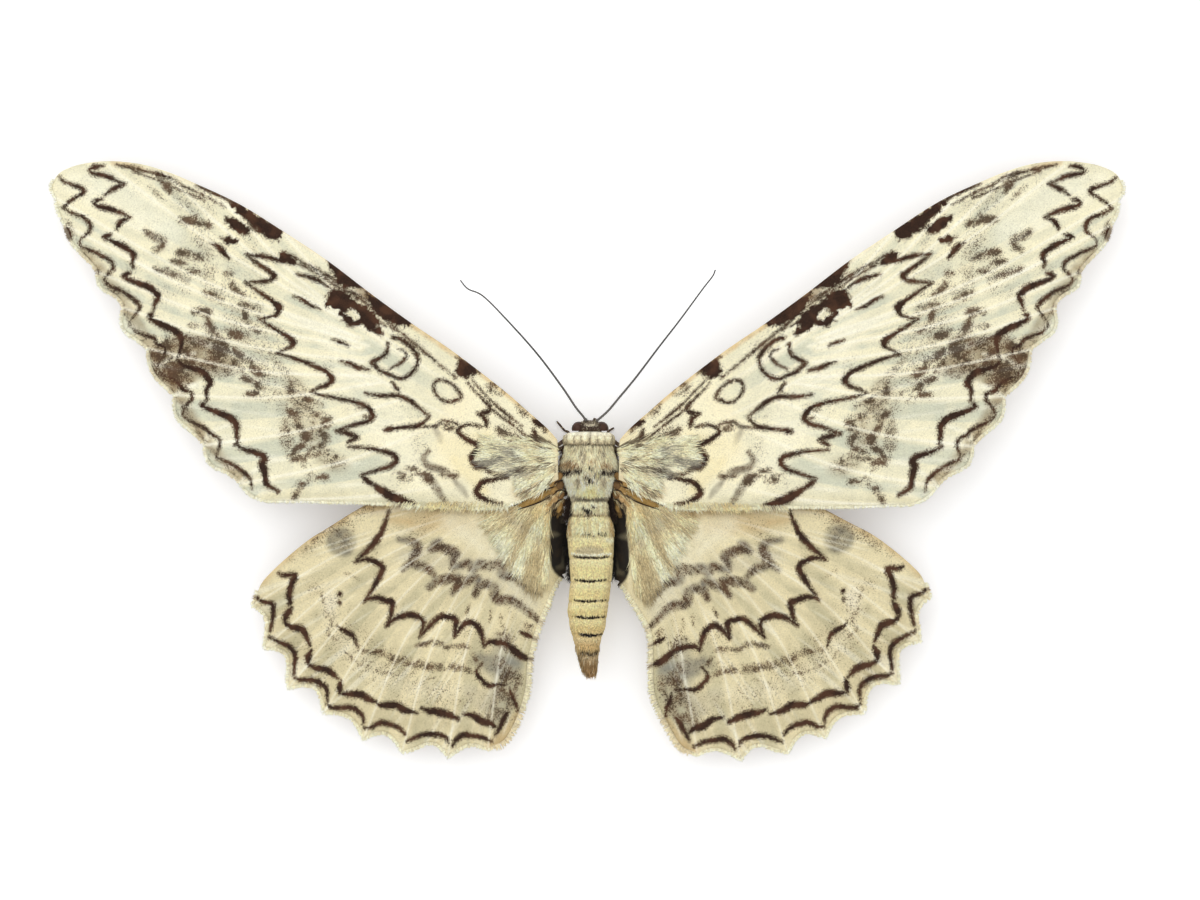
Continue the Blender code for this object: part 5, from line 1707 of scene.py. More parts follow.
    def build(self, finish: bpy.types.Material) -> None:
        """Make the one skin, from the head's pole to the abdomen's tip.

        Args:
            finish: Material of the hair-scales, which also shows between them.
        """
        v = np.linspace(self.front, self.rear, self.rows)
        turn = FULL_TURN * np.arange(self.around) / self.around
        grid_v, grid_turn = (g.ravel() for g in np.meshgrid(v, turn, indexing="ij"))
        points, outward = self.place(grid_v, -grid_turn)
        colour = self.colours(points, outward) * self.skin_shade
        shape = (self.rows, self.around, 3)
        shell = lathe_shell(points.reshape(shape), np.array(self.poles), colour.reshape(shape))
        nodes = ["head", "thorax", "metathorax"]
        nodes += [f"{part}_{side.word}" for part in ("collar", "tegula") for side in Side]
        nodes += [f"abdomen_{number}" for number in range(1, 9)]
        settle(shell.piece("body_skin"), finish, "thorax_scales", *nodes)

    def coat(self, zone: Zone, finish: bpy.types.Material) -> None:
        """Lay one zone's hair-scales over the skin.

        Args:
            zone: Where they grow and how they lie.
            finish: Their material.
        """
        draw = np.random.default_rng(zone.seed)
        fine = np.linspace(zone.front, zone.rear, 400)
        table = np.array(self.stations)[::-1]
        girth = np.interp(fine, table[:, 0], table[:, 3]) + 0.3
        v = draw.choice(fine, zone.count, p=girth / girth.sum()) + draw.uniform(-0.08, 0.08, zone.count)
        v = np.clip(v, zone.rear, zone.front)
        turn = draw.uniform(-zone.reach, zone.reach, zone.count)
        turn = np.sign(turn) * (zone.inner + np.abs(turn) * (1.0 - zone.inner / zone.reach))
        if zone.under:
            turn += math.pi
        points, up = self.place(v, turn)
        ahead = np.column_stack([np.zeros(zone.count), np.full(zone.count, -1.0), np.zeros(zone.count)])
        round_body = np.column_stack([np.cos(turn), np.zeros(zone.count), -np.sin(turn)])
        fan = zone.fan * np.sin(turn) + zone.stray * draw.normal(size=zone.count)
        lie = unit(ahead * zone.way + round_body * fan[:, None])
        lie = unit(lie - up * (lie * up).sum(axis=1)[:, None])
        colour = self.colours(points + zone.shift * zone.length * lie, up)
        colour *= draw.uniform(1.0 - zone.mixed, 1.0 + 0.8 * zone.mixed, zone.count)[:, None]
        colour = wash(colour, linear(self.silver), 0.60 * (draw.random(zone.count) < zone.silver))
        if zone.tone:
            colour = linear(zone.tone) * draw.uniform(0.7, 1.5, zone.count)[:, None]
        length = zone.length * draw.uniform(0.65, 1.25, zone.count)
        width = zone.width * draw.uniform(0.7, 1.3, zone.count)
        flare = 1.0 + zone.flare * np.abs(np.sin(turn)) * np.exp(-(((v - 0.2) / 2.6) ** 2))
        lift = zone.lift * draw.uniform(0.4, 1.5, zone.count) * flare
        curl = 0.12 * draw.normal(size=zone.count)
        tufts = Tufts(points, lie, up, length, width, colour, self.uv(v, turn), lift, curl, zone.cut)
        settle(tufts.shell().piece(zone.word + "_coat"), finish, zone.slot)


@dataclass(frozen=True)
class Zone:
    """Stretch of the body with one kind of hair-scale.

    The scales grow from front to rear, within the angle `reach` of the top but beyond `inner`, or about
    the belly. They lie backwards times `way`, spread by `fan` to the sides and by `stray` at random,
    and `flare` lifts those beside the wings' roots. A colour is read `shift` of the length along the
    scale, varies by the share `mixed`, and pales in the share `silver` of them; `tone` replaces it.
    """

    word: str
    slot: str
    seed: int
    front: float
    rear: float
    count: int
    length: float
    width: float
    lift: float
    reach: float = math.pi
    inner: float = 0.0
    tone: str = ""
    fan: float = 0.25
    stray: float = 0.16
    way: float = 1.0
    silver: float = 0.05
    mixed: float = 0.16
    under: bool = False
    flare: float = 0.0
    shift: float = 0.35
    cut: Cut = Cut.HAIR


BODY_ZONES = (
    Zone("head", "head_scales", 21, 9.0, 6.7, 2600, 0.65, 0.15, 0.30, 2.9, way=-0.55, stray=0.5,
         cut=Cut.SHORT),
    Zone("collar", "collar_scales", 22, 6.35, 4.2, 6500, 1.0, 0.20, 0.20, 2.3, fan=0.1, silver=0.1,
         shift=0.5, mixed=0.20, cut=Cut.SHORT),
    Zone("thorax", "thorax_scales", 23, 3.5, -8.2, 9500, 1.9, 0.19, 0.30, 2.2, fan=0.22, silver=0.24,
         mixed=0.30, flare=1.3),
    Zone("thorax_rear", "thorax_scales", 24, -5.6, -9.4, 2600, 1.7, 0.18, 0.24, 1.6, fan=-0.1, mixed=0.22),
    Zone("waist", "waist_scales", 25, -10.4, -13.2, 2400, 1.6, 0.20, 0.34, 2.0, fan=0.2, mixed=0.20),
    # Dark hair down the sides: dark brown beside the thorax, and near black along the abdomen, where it
    # paints the deep shade beside the body as on the hindwing's fold
    Zone("flank_front", "thorax_scales", 34, 3.6, -9.5, 2600, 2.4, 0.17, 0.80, 2.2, inner=1.5,
         tone="3B2B1E", fan=0.5, stray=0.3),
    Zone("flank_middle", "thorax_scales", 35, -9.0, -14.0, 2200, 2.7, 0.16, 0.85, 2.2, inner=1.35,
         tone="2C211A", fan=0.4, stray=0.3),
    Zone("flank_rear", "abdomen_scales", 36, -13.6, -29.5, 2600, 2.1, 0.15, 0.85, 2.3, inner=1.75,
         tone="211D1A", fan=0.3, stray=0.2),
    Zone("abdomen_front", "abdomen_scales", 26, -13.8, -18.2, 4200, 1.8, 0.18, 0.26, fan=0.2, stray=0.26,
         silver=0.15, mixed=0.20),
    Zone("abdomen", "abdomen_scales", 27, -18.4, -48.4, 17000, 0.62, 0.20, 0.09, fan=0.05, stray=0.10,
         silver=0.02, shift=0.6, mixed=0.08, cut=Cut.SHORT),
    Zone("abdomen_tip", "abdomen_scales", 28, -46.6, -54.0, 1800, 1.7, 0.15, 0.10, fan=-0.35),
    Zone("chest", "thorax_scales", 29, 5.8, -10.5, 3600, 2.3, 0.26, 0.22, 1.15, under=True),
)


@dataclass
class Head:
    """Eyes, palps and the rolled tongue."""

    middle_x: float = 0.40
    eye_side: float = 2.85
    eye_forward: float = 7.35
    eye_height: float = 9.40
    eye_radius: float = 1.80
    eye_rear: float = 6.78
    palp_path: tuple = ((1.05, 8.0, 5.5), (1.20, 9.0, 5.7), (1.15, 9.55, 7.2), (1.05, 9.55, 8.9))
    palp_radii: tuple = (0.36, 0.46, 0.42, 0.20)
    tongue_middle: tuple = (0.40, 8.10, 4.35)
    tongue_reach: float = 1.35
    tongue_shrink: float = 0.80
    tongue_girth: float = 0.24
    tongue_turns: float = 1.35
    tongue_steps: int = 90
    eye_colour: str = "452D22"
    tongue_colour: str = "5C3A22"
    palp_colour: str = "7A6A5E"
    palp_hair: str = "8A7A68"

    def build(self, eye: bpy.types.Material, scales: bpy.types.Material, horn: bpy.types.Material) -> None:
        """Make both eyes and palps, and the tongue.

        Args:
            eye: Finish of the eyes.
            scales: Finish of the palps.
            horn: Finish of the tongue.
        """
        for side in Side:
            self.build_eye(side, eye)
            self.build_palp(side, scales)
        steps = self.tongue_steps
        t = np.linspace(0.0, 1.0, steps)
        radius = self.tongue_reach - self.tongue_shrink * t
        turn = math.pi / 2 - FULL_TURN * self.tongue_turns * t
        x, y, z = self.tongue_middle
        coil = np.column_stack([np.full(steps, x), y + radius * np.cos(turn), z + radius * np.sin(turn)])
        girth = self.tongue_girth * (1.0 - 0.3 * t)
        girth[::2] *= 0.94
        colour = linear(self.tongue_colour) * (0.9 + 0.2 * (np.arange(steps) % 2))[:, None]
        settle(tube(coil, girth, colour).piece("tongue_coil"), horn, "tongue_skin", "proboscis")

    def build_eye(self, side: Side, finish: bpy.types.Material) -> None:
        """Ball of the eye, cut flat where it meets the collar.

        Args:
            side: Which eye.
            finish: Its material.
        """
        middle = np.array((self.middle_x + side.value * self.eye_side, self.eye_forward, self.eye_height))
        ball = ball_points(np.linspace(0.06, math.pi - 0.06, 36), 56)
        rings = middle + self.eye_radius * ball[:, ::-1]
        rings[..., 1] = np.maximum(rings[..., 1], self.eye_rear)
        poles = middle + self.eye_radius * np.array(((0, 0, 1.0), (0, 0, -1.0)))
        mottle = grain(rings.reshape(-1, 3)[:, [0, 2]], 0.5, 31).reshape(ball.shape[:2] + (1,))
        colour = linear(self.eye_colour) * (0.70 + 0.6 * mottle)
        shell = lathe_shell(rings, poles, colour)
        settle(shell.piece(f"eye_{side.word}_lens"), finish, "eye_lens", f"eye_{side.word}")

    def build_palp(self, side: Side, finish: bpy.types.Material) -> None:
        """Palp with its short scales lying along it.

        Args:
            side: Which palp.
            finish: Its material.
        """
        stretch = np.array((side.value, 1.0, 1.0))
        path = smooth(np.array(self.palp_path) * stretch, 8) + (self.middle_x, 0.0, 0.0)
        radii = np.interp(np.linspace(0, 3, len(path)), range(4), self.palp_radii)
        colour = linear(self.palp_colour) * (0.85 + 0.3 * grain(path[:, 1:] * 3.0, 1.0, 32))[:, None]
        core = tube(path, radii, colour)
        draw = np.random.default_rng(33 + side.value)
        hair = tufts_round(path, radii, 420, (0.55, 0.12), linear(self.palp_hair), draw)
        piece = Shell.joined([core, hair]).piece(f"palp_{side.word}_scales")
        settle(piece, finish, "palp_scales", f"palp_{side.word}")


def tufts_round(
    path: Array, radii: Array, count: int, size: tuple[float, float], tone: Array, draw: np.random.Generator
) -> Shell:
    """Short scales lying along a round limb, all round it.

    Args:
        path: Middle of the limb.
        radii: Its radius at each place.
        count: Number of scales.
        size: Their length and width.
        tone: Their colour, or one for each place of the path.
        draw: Source of random numbers.

    Returns:
        The scales.
    """
    at = draw.uniform(0.0, len(path) - 1.001, count)
    low, share = at.astype(int), (at % 1.0)[:, None]
    middle = path[low] * (1 - share) + path[low + 1] * share
    along = unit(path[low + 1] - path[low])
    up = unit(np.cross(along, unit(draw.normal(size=(count, 3)))))
    radius = np.interp(at, np.arange(len(path)), radii)[:, None]
    lie = unit(along + 0.18 * draw.normal(size=(count, 3)))
    lie = unit(lie - up * (lie * up).sum(axis=1)[:, None])
    shades = np.broadcast_to(np.atleast_2d(tone), (len(path), 3))[low]
    root = middle + 0.92 * radius * up
    root[:, 2] = np.maximum(root[:, 2], 0.05)
    up[:, 2] = np.where(root[:, 2] < 0.4, np.maximum(up[:, 2], 0.05), up[:, 2])
    length, width = (full * draw.uniform(0.7, 1.3, count) for full in size)
    shades = shades * draw.uniform(0.75, 1.2, count)[:, None]
    uv = UV_EDGE + UV_SPAN * np.column_stack([draw.random(count), at / len(path)])
    lift, curl = np.full(count, 0.12), 0.05 * draw.normal(size=count)
    return Tufts(root, lie, unit(up), length, width, shades, uv, lift, curl, Cut.SHORT).shell()


@dataclass
class Feeler:
    """Thread-like feeler of many short joints, thinning to its tip."""

    side: Side
    path: tuple
    thick: float = 0.31
    thin: float = 0.17
    joint: float = 0.62
    pinch: float = 0.13
    dark: str = "33302F"
    pale: str = "6E6860"

    def build(self, finish: bpy.types.Material) -> None:
        """Make the feeler, with four rings to each joint and its back paler near the base.

        Args:
            finish: Its material.
        """
        line = smooth(self.path, 30)
        away = np.concatenate([[0.0], np.cumsum(np.linalg.norm(np.diff(line, axis=0), axis=1))])
        s = np.arange(0.0, away[-1], self.joint / 4.0)
        path = np.column_stack([np.interp(s, away, line[:, k]) for k in range(3)])
        share = s / away[-1]
        phase = (s / self.joint) % 1.0
        radii = self.thick + (self.thin - self.thick) * share**0.8
        radii *= 1.0 - self.pinch * np.cos(FULL_TURN * phase)
        radii[:4] *= (1.25, 1.35, 1.3, 1.1)
        tone = np.tile(linear(self.dark), (len(s), 1))
        tone = wash(tone, linear(self.pale), 0.5 * ramp(-share, -0.5, -0.05))
        tone *= (0.88 + 0.2 * ramp(phase, 0.1, 0.6))[:, None]
        piece = tube(path, radii, tone, 10).piece(f"feeler_{self.side.word}")
        settle(piece, finish, "feeler", f"antenna_base_{self.side.word}", f"antenna_tip_{self.side.word}")


@dataclass
class Leg:
    """One leg: thigh, shank with spurs, and a five-jointed foot with two claws."""

    side: Side
    pair: str
    thigh: tuple
    shank: tuple
    foot: tuple
    thigh_radii: tuple = (0.55, 0.70, 0.45)
    shank_radii: tuple = (0.42, 0.45, 0.34)
    foot_radius: float = 0.36
    brown: str = "56453A"
    pale: str = "A8977C"
    claw: str = "2B211B"

    def at(self, points: tuple, steps: int) -> Array:
        """Smooth path of a length of the leg on this side."""
        return smooth(np.array(points) * (self.side.value, 1.0, 1.0), steps)

    def build(self, finish: bpy.types.Material) -> None:
        """Make the leg with its scales.

        Args:
            finish: Its material.
        """
        draw = np.random.default_rng(40 + len(self.pair) * self.side.value)
        brown, pale = linear(self.brown), linear(self.pale)
        parts = []
        for points, radii, steps in ((self.thigh, self.thigh_radii, 12), (self.shank, self.shank_radii, 12)):
            path = self.at(points, steps)
            radius = np.interp(np.linspace(0, 2, len(path)), range(3), radii)
            ring = 0.5 + 0.5 * np.cos(np.linspace(0.0, 3.0 * math.pi, len(path)))
            tone = wash(np.tile(brown, (len(path), 1)), pale, 0.6 * ring)
            parts.append(tube(path, radius, tone))
            parts.append(tufts_round(path, radius, 420, (0.8, 0.15), tone, draw))
        path = self.at(self.foot, 16)
        share = np.linspace(0.0, 5.0, len(path))
        radius = self.foot_radius * (0.86 + 0.14 * np.sin(math.pi * (share % 1.0))) * (1.0 - 0.06 * share)
        tone = wash(np.tile(brown, (len(path), 1)), pale, ramp(share % 1.0, 0.75, 0.95))
        parts.append(tube(path, radius, tone, floor=True))
        parts += self.spurs(brown)
        parts += self.claws(path)
        piece = Shell.joined(parts).piece(f"leg_{self.pair}_{self.side.word}")
        names = [f"leg_{self.pair}_{self.side.word}_{word}" for word in ("thigh", "shank", "foot")]
        settle(piece, finish, "leg_scales", *names)

    def spurs(self, tone: Array) -> list[Shell]:
        """Two long spurs below the end of the shank, on the middle and hind legs.

        Args:
            tone: Their colour.

        Returns:
            One shell each, or none on a front leg.
        """
        if self.pair == "front":
            return []
        path = self.at(self.shank, 12)
        run = unit((path[-1] - path[-5])[None])[0]
        found = []
        for out in (-1.0, 1.0):
            end = path[-3] + 1.6 * run + np.array((0.35 * out, 0.15, 0.25))
            line = smooth((path[-3], (path[-3] + end) / 2 + (0.12 * out, 0, 0.1), end), 5)
            line[:, 2] = np.maximum(line[:, 2], 0.22)
            found.append(tube(line, np.linspace(0.13, 0.03, len(line)), np.tile(tone, (len(line), 1)), 8))
        return found

    def claws(self, path: Array) -> list[Shell]:
        """Two curved claws at the foot's tip.

        Args:
            path: Middle of the foot.

        Returns:
            One shell each.
        """
        run = unit((path[-1] - path[-4])[None])[0]
        across = np.array((-run[1], run[0], 0.0))
        found = []
        for out in (-1.0, 1.0):
            tip = path[-1] + 0.28 * run + 0.22 * out * across + (0.0, 0.0, -0.14)
            line = smooth((path[-1], path[-1] + 0.2 * run + 0.16 * out * across, tip), 5)
            tone = np.tile(linear(self.claw), (len(line), 1))
            found.append(tube(line, np.linspace(0.09, 0.02, len(line)), tone, 8))
        return found


@dataclass(frozen=True)
class Fringe:
    """Fringe scales along the outline, between two shares of its length, at an even gap."""

    start: float
    end: float
    gap: float
    length: float
    seed: int


@dataclass(frozen=True)
class Silk:
    """Long hair over a polygon of the plan, in rays from a place, turned from them by an angle."""

    # Corners as u, v, u, v; of the roots drawn, those within them are kept
    corners: tuple[float, ...]
    drawn: int
    origin: tuple[float, float]
    length: float
    width: float
    seed: int
    lift: float = 0.07
    turn: float = 0.0
    # Colours of the pale and the dark streaks in it
    pale: str = "FBEEC2"
    dark: str = "B09F76"


FOREWING_COAT = (
    Fringe(0.455, 0.99, 0.26, 1.05, 60),
    Silk((6.8, 2.6, 11, 4.6, 16, 4.4, 17, -3, 15, -8.5, 8.5, -5), 2600, (3, 1), 3.2, 0.18, 62, 0.10, 0.0,
         "FAEEC4", "43311F"),
    Silk((16, 5, 25.5, 5.6, 27, -2.2, 20, -4.4, 16, -4), 900, (3, 1), 2.8, 0.15, 73, 0.05, 0.0,
         "F8ECC2", "6E6A62"),
    Silk((8.6, -2, 16, -4, 17.5, -8.5, 12, -8.6, 8.4, -5.2), 500, (5, 0), 2.6, 0.18, 72, 0.10, 0.0,
         "FFF6D6", "8A7350"),
    Silk((19, -10.6, 50, -10.9, 50, -11.4, 31, -12.4, 20, -12), 520, (10, -2), 1.9, 0.13, 63, 0.12, -0.8,
         "FBEEC4", "E3CE98"),
)
HINDWING_COAT = (
    Fringe(0.35, 0.74, 0.26, 1.15, 65),
    Fringe(0.74, 0.93, 0.28, 1.7, 66),
    Fringe(0.945, 0.995, 0.2, 1.5, 69),
    Silk((9.8, -9, 22, -9, 24, -14, 20, -22, 15, -30, 12, -32, 10, -29, 9.7, -16), 5200, (7.5, -3), 4.6,
         0.16, 67, 0.05),
    Silk((9.4, -11, 12.5, -11, 12.5, -16, 10.2, -18), 600, (8, -3), 3.4, 0.24, 68, 0.20, 0.0,
         "FFF3D0", "D2BC88"),
    Silk((6.2, -6.6, 9.6, -7.5, 10.4, -12.5, 7.4, -14, 6, -13), 700, (4.5, -5), 1.7, 0.15, 70, 0.26, 0.0,
         "B48F55", "3B2A1C"),
)


@dataclass
class WingHair:
    """Hair and fringe scales of one wing."""

    wing: Wing
    fringe_pale: str = "F9F0D2"
    fringe_dark: str = "5B4636"
    marked: str = "4A3A2F"
    palest: str = "FFF1CC"

    def lay(
        self, flat: Array, ways: Array, length: Array, width: Array, colour: Array, lift: Array, rise: float,
        draw: np.random.Generator, cut: Cut,
    ) -> Shell:
        """Locks on the wing's upper face, from places and ways in the wing's plan.

        Args:
            flat: Places of the roots on the plan.
            ways: Directions on the plan.
            length: Lengths.
            width: Widths.
            colour: Colours.
            lift: How steeply each rises.
            rise: Height of the roots over the wing's middle layer.
            draw: Source of random numbers.
            cut: Shape of the locks.

        Returns:
            The locks.
        """
        wing, step = self.wing, 0.4
        a, b = wing.warp(flat), wing.warp(flat + step * ways)
        run = (b - a) / step
        slope = (wing.height(b) - wing.height(a)) / step
        side = wing.side.value
        lie = unit(np.column_stack([side * run[:, 0], run[:, 1], slope]))
        up = unit(np.column_stack([-lie[:, 0] * lie[:, 2], -lie[:, 1] * lie[:, 2], 1 - lie[:, 2] ** 2]))
        root = np.column_stack([side * a[:, 0], a[:, 1], wing.height(a) + rise])
        uv = (flat - np.array(wing.plan.uv_origin)) * wing.plan.uv_scale
        curl = 0.10 * draw.normal(size=len(flat))
        return Tufts(root, lie, up, length, width, colour, uv, lift, curl, cut).shell()

    def fringe(self, row: Fringe) -> Shell:
        """Fringe scales in two rows, each pointing off the edge.

        Args:
            row: Where they stand, how long they are, and what fixes the random draws.

        Returns:
            The fringe, whose colours are those of the wing's edge.
        """
        gap = row.gap
        draw = np.random.default_rng(row.seed + self.wing.side.value)
        outline = self.wing.plan.outline
        edge = pulled_in(outline, 0.55)
        run = np.diff(outline, axis=0)
        away = np.concatenate([[0.0], np.cumsum(np.hypot(run[:, 0], run[:, 1]))])
        s = np.arange(row.start * away[-1], row.end * away[-1], gap)
        s = np.concatenate([s, s + 0.5 * gap])
        s = np.clip(s + draw.uniform(-0.3, 0.3, len(s)) * gap, 0.0, away[-1])
        at = np.column_stack([np.interp(s, away, edge[:, k]) for k in (0, 1)])
        rim = np.column_stack([np.interp(s, away, outline[:, k]) for k in (0, 1)])
        ways = unit(unit(rim - at) + 0.12 * draw.normal(size=at.shape) + (0.0, -0.10))
        colour, line, _ = self.wing.plan.look(at)
        colour = wash(colour, linear(self.fringe_pale), 0.45 * ramp(colour.sum(axis=1), 0.3, 0.9))
        colour = wash(colour, linear(self.fringe_dark), 0.75 * ramp(line, -0.4, 0.3))
        n = len(at)
        colour *= draw.uniform(0.80, 1.12, n)[:, None]
        length, width = row.length * draw.uniform(0.75, 1.2, n), np.full(n, 1.25 * gap)
        return self.lay(at, ways, length, width, colour, 0.10 * draw.normal(size=n), 0.02, draw, Cut.SCALE)

    def silk(self, patch: Silk) -> Shell:
        """Long silky hair over one patch.

        Args:
            patch: Where it grows, how it lies, and what fixes the random draws.

        Returns:
            The hair, coloured as the wing under it, with pale and dark streaks along the rays.
        """
        draw = np.random.default_rng(patch.seed + self.wing.side.value)
        box = pairs(patch.corners)
        flat = draw.uniform(box.min(0), box.max(0), (patch.drawn, 2))
        flat = flat[inside(flat, box)]
        n = len(flat)
        away = flat - np.array(patch.origin)
        ray = unit(away)
        angle = patch.turn + 0.14 * draw.normal(size=n)
        c, s = np.cos(angle)[:, None], np.sin(angle)[:, None]
        ways = ray * c + np.column_stack([-ray[:, 1], ray[:, 0]]) * s
        long = patch.length * draw.uniform(0.6, 1.3, n)
        far = flat + 0.5 * long[:, None] * ways
        colour, line, dust = self.wing.plan.look(far)
        shaded = np.clip(0.75 * ramp(line, -0.3, 0.2) + 0.5 * dust, 0.0, 0.9)
        colour = wash(colour, linear(self.marked), shaded)
        bearing = np.arctan2(away[:, 1], away[:, 0])
        polar = np.column_stack([bearing * 11.0, np.hypot(away[:, 0], away[:, 1]) * 0.14])
        mood = grain(polar, 1.0, patch.seed) + 0.10 * draw.normal(size=n)
        colour = wash(colour, linear(patch.pale), 0.75 * ramp(mood, 0.50, 0.75))
        colour = wash(colour, linear(patch.dark), 0.80 * ramp(-mood, -0.46, -0.26))
        colour = np.minimum(colour * draw.uniform(0.90, 1.22, n)[:, None], linear(self.palest))
        width = patch.width * draw.uniform(0.7, 1.4, n)
        lift = patch.lift * draw.uniform(0.3, 1.6, n)
        return self.lay(flat, ways, long, width, colour, lift, 0.16, draw, Cut.HAIR)

    def build(self, rows: tuple[Fringe | Silk, ...], finish: bpy.types.Material) -> None:
        """Make the hair of the wing as one coat piece.

        Args:
            rows: Its fringes and its patches of silk.
            finish: Their material.
        """
        parts = [self.fringe(row) if isinstance(row, Fringe) else self.silk(row) for row in rows]
        name = f"{self.wing.plan.word}_{self.wing.side.word}_coat"
        starts = np.cumsum([0] + [len(p.points) for p in parts])
        faces = [f + start for p, start in zip(parts, starts) for f in p.faces]
        shell = Shell(np.vstack([p.points for p in parts]), faces, np.vstack([p.corners for p in parts]),
                      np.vstack([p.colour for p in parts]))
        settle(shell.piece(name), finish, self.wing.plan.word + "_scales")


@dataclass(frozen=True)
class EyeFacets:
    """Lens of a compound eye: smooth clear chitin over dark pigment, in fine six-sided facets."""

    name: str = "compound_eye_chitin"
    facet: float = 0.11
    roughness: float = 0.22

    def make(self) -> bpy.types.Material:
        """Glossy dark material with a net of facets.

        Returns:
            The material. Real facets are 0.03 mm across; they are drawn 0.11 mm so that they show.
        """
        made, tree, shader = new_material(self.name)
        place = node(tree, "TexCoord").outputs["Object"]
        net = {"Vector": place, "Scale": PER_METRE / self.facet, "Randomness": 0.35}
        depth = node(tree, "TexVoronoi", net).outputs["Distance"]
        value = node(tree, "MapRange", {"Value": depth, "To Min": 1.25, "To Max": 0.6})
        relief = {"Height": depth, "Strength": 0.5, "Distance": 0.03 * MM}
        dress(
            shader, ground_times(tree, value.outputs[0]), relief, True,
            Roughness=self.roughness, IOR=1.42, Specular_IOR_Level=0.28,
        )
        return made


@dataclass(frozen=True)
class Horn:
    """Bare chitin of feelers and tongue: hard, amber to grey-brown, with a dull polish."""

    name: str = "bare_chitin"
    pit: float = 0.15
    roughness: float = 0.48

    def make(self) -> bpy.types.Material:
        """Half-matt material with a fine pitted surface.

        Returns:
            The material. Its pits are drawn 0.15 mm wide.
        """
        made, tree, shader = new_material(self.name)
        place = node(tree, "TexCoord").outputs["Object"]
        pits = node(tree, "TexNoise", {"Vector": place, "Scale": PER_METRE / self.pit, "Detail": 2.0})
        span = {"From Min": 0.3, "From Max": 0.7, "To Min": 0.80, "To Max": 1.15}
        value = node(tree, "MapRange", {"Value": pits.outputs["Fac"]} | span)
        relief = {"Height": pits.outputs["Fac"], "Strength": 0.3, "Distance": 0.03 * MM}
        colour = ground_times(tree, value.outputs[0])
        dress(shader, colour, relief, False, Roughness=self.roughness, IOR=1.56)
        return made


@dataclass
class Hinge:
    """Small plates of horn at the root of the wings, and the ochre gutter of the hindwing's front edge."""

    # u, v, half length, half width, turn and colour of each plate
    plates: tuple = (
        (7.7, -4.7, 1.5, 1.0, -0.5, "8E6E42"), (9.3, -6.3, 1.8, 0.9, -0.45, "B08D57"),
        (7.1, -6.8, 1.1, 1.0, -1.2, "6F5435"), (8.6, -8.1, 1.5, 0.9, -0.7, "A5834F"),
        (6.9, -9.1, 1.2, 0.9, -1.5, "7A5C38"), (8.4, -10.2, 1.1, 0.8, -1.0, "B9986A"),
        (7.3, -12.2, 1.7, 0.8, -1.3, "A9864F"), (6.1, -11.2, 1.0, 0.7, -1.6, "6B4F33"),
        (13.5, -10.2, 4.9, 1.15, -0.44, "AC8A50"), (12.6, -9.6, 3.4, 0.5, -0.44, "C3A266"),
    )
    # Dark creases beside them: radius, then u, v, u, v
    creases: tuple = (
        (0.20, (8.6, -7.2, 11.0, -8.0, 14.6, -9.6, 18.6, -12.0)),
        (0.16, (9.6, -9.6, 12.6, -11.2, 17.6, -12.9)),
        (0.22, (6.4, -5.6, 7.9, -5.9, 9.4, -7.4)), (0.20, (6.2, -8.0, 7.8, -8.2, 8.9, -9.3)),
        (0.20, (6.3, -10.2, 7.4, -10.6, 8.2, -11.6)),
    )
    high: float = 0.34
    crease_colour: str = "33241A"

    def plate(self, side: Side, number: int) -> Shell:
        """One plate: a flat ball with a mottled colour and painted light, lighter on top and darker round
        its rim and below.

        Args:
            side: Which side.
            number: Which plate.

        Returns:
            Its shell, (long sin a cos b, wide sin a sin b, high cos a) turned about the upright.
        """
        u, v, long, wide, angle, tone = self.plates[number]
        tilt = np.linspace(0.15, math.pi - 0.15, 12)
        ball = ball_points(tilt, 24) * (long, wide, self.high)
        if side is Side.RIGHT:
            ball = ball[:, ::-1]
        c, s = math.cos(angle), math.sin(angle)
        z = hindwing_height(np.array([u]), np.array([v]))[0] + 0.30 + 0.9 * ramp(v, -8.0, -4.5)
        knob = np.array((side.value * u, v, z))
        rings = knob + np.stack([side.value * (ball[..., 0] * c - ball[..., 1] * s),
                                 ball[..., 0] * s + ball[..., 1] * c, ball[..., 2]], axis=2)
        poles = knob + np.array(((0, 0, self.high), (0, 0, -self.high)))
        flat = rings.reshape(-1, 3)[:, :2] + 9.0
        mottle = 0.6 * grain(flat, 0.7, 50 + number) + 0.4 * grain(flat, 0.25, 70 + number)
        # Painted light: the top of each plate lighter, its underside darker
        shade = 0.35 + 0.75 * mottle.reshape(ball.shape[:2] + (1,)) + 0.30 * np.cos(tilt)[:, None, None]
        colour = linear(tone) * shade
        return lathe_shell(rings, poles, np.clip(colour, 0.01, 0.9))

    def build(self, side: Side, finish: bpy.types.Material) -> None:
        """Make one side's plates, creases and gutter as one piece.

        Args:
            side: Which side.
            finish: Their material.
        """
        parts = [self.plate(side, number) for number in range(len(self.plates))]
        for radius, path in self.creases:
            line = smooth(pairs(path), 8)
            z = hindwing_height(line[:, 0], line[:, 1]) + 0.50 + 0.9 * ramp(line[:, 1], -8.0, -4.5)
            girth = radius * np.sin(np.linspace(0.3, 2.9, len(line))) ** 0.5
            tone = np.tile(linear(self.crease_colour), (len(line), 1))
            parts.append(tube(np.column_stack([side.value * line[:, 0], line[:, 1], z]), girth, tone, 8))
        settle(Shell.joined(parts).piece(f"hinge_{side.word}"), finish, "thorax_scales")


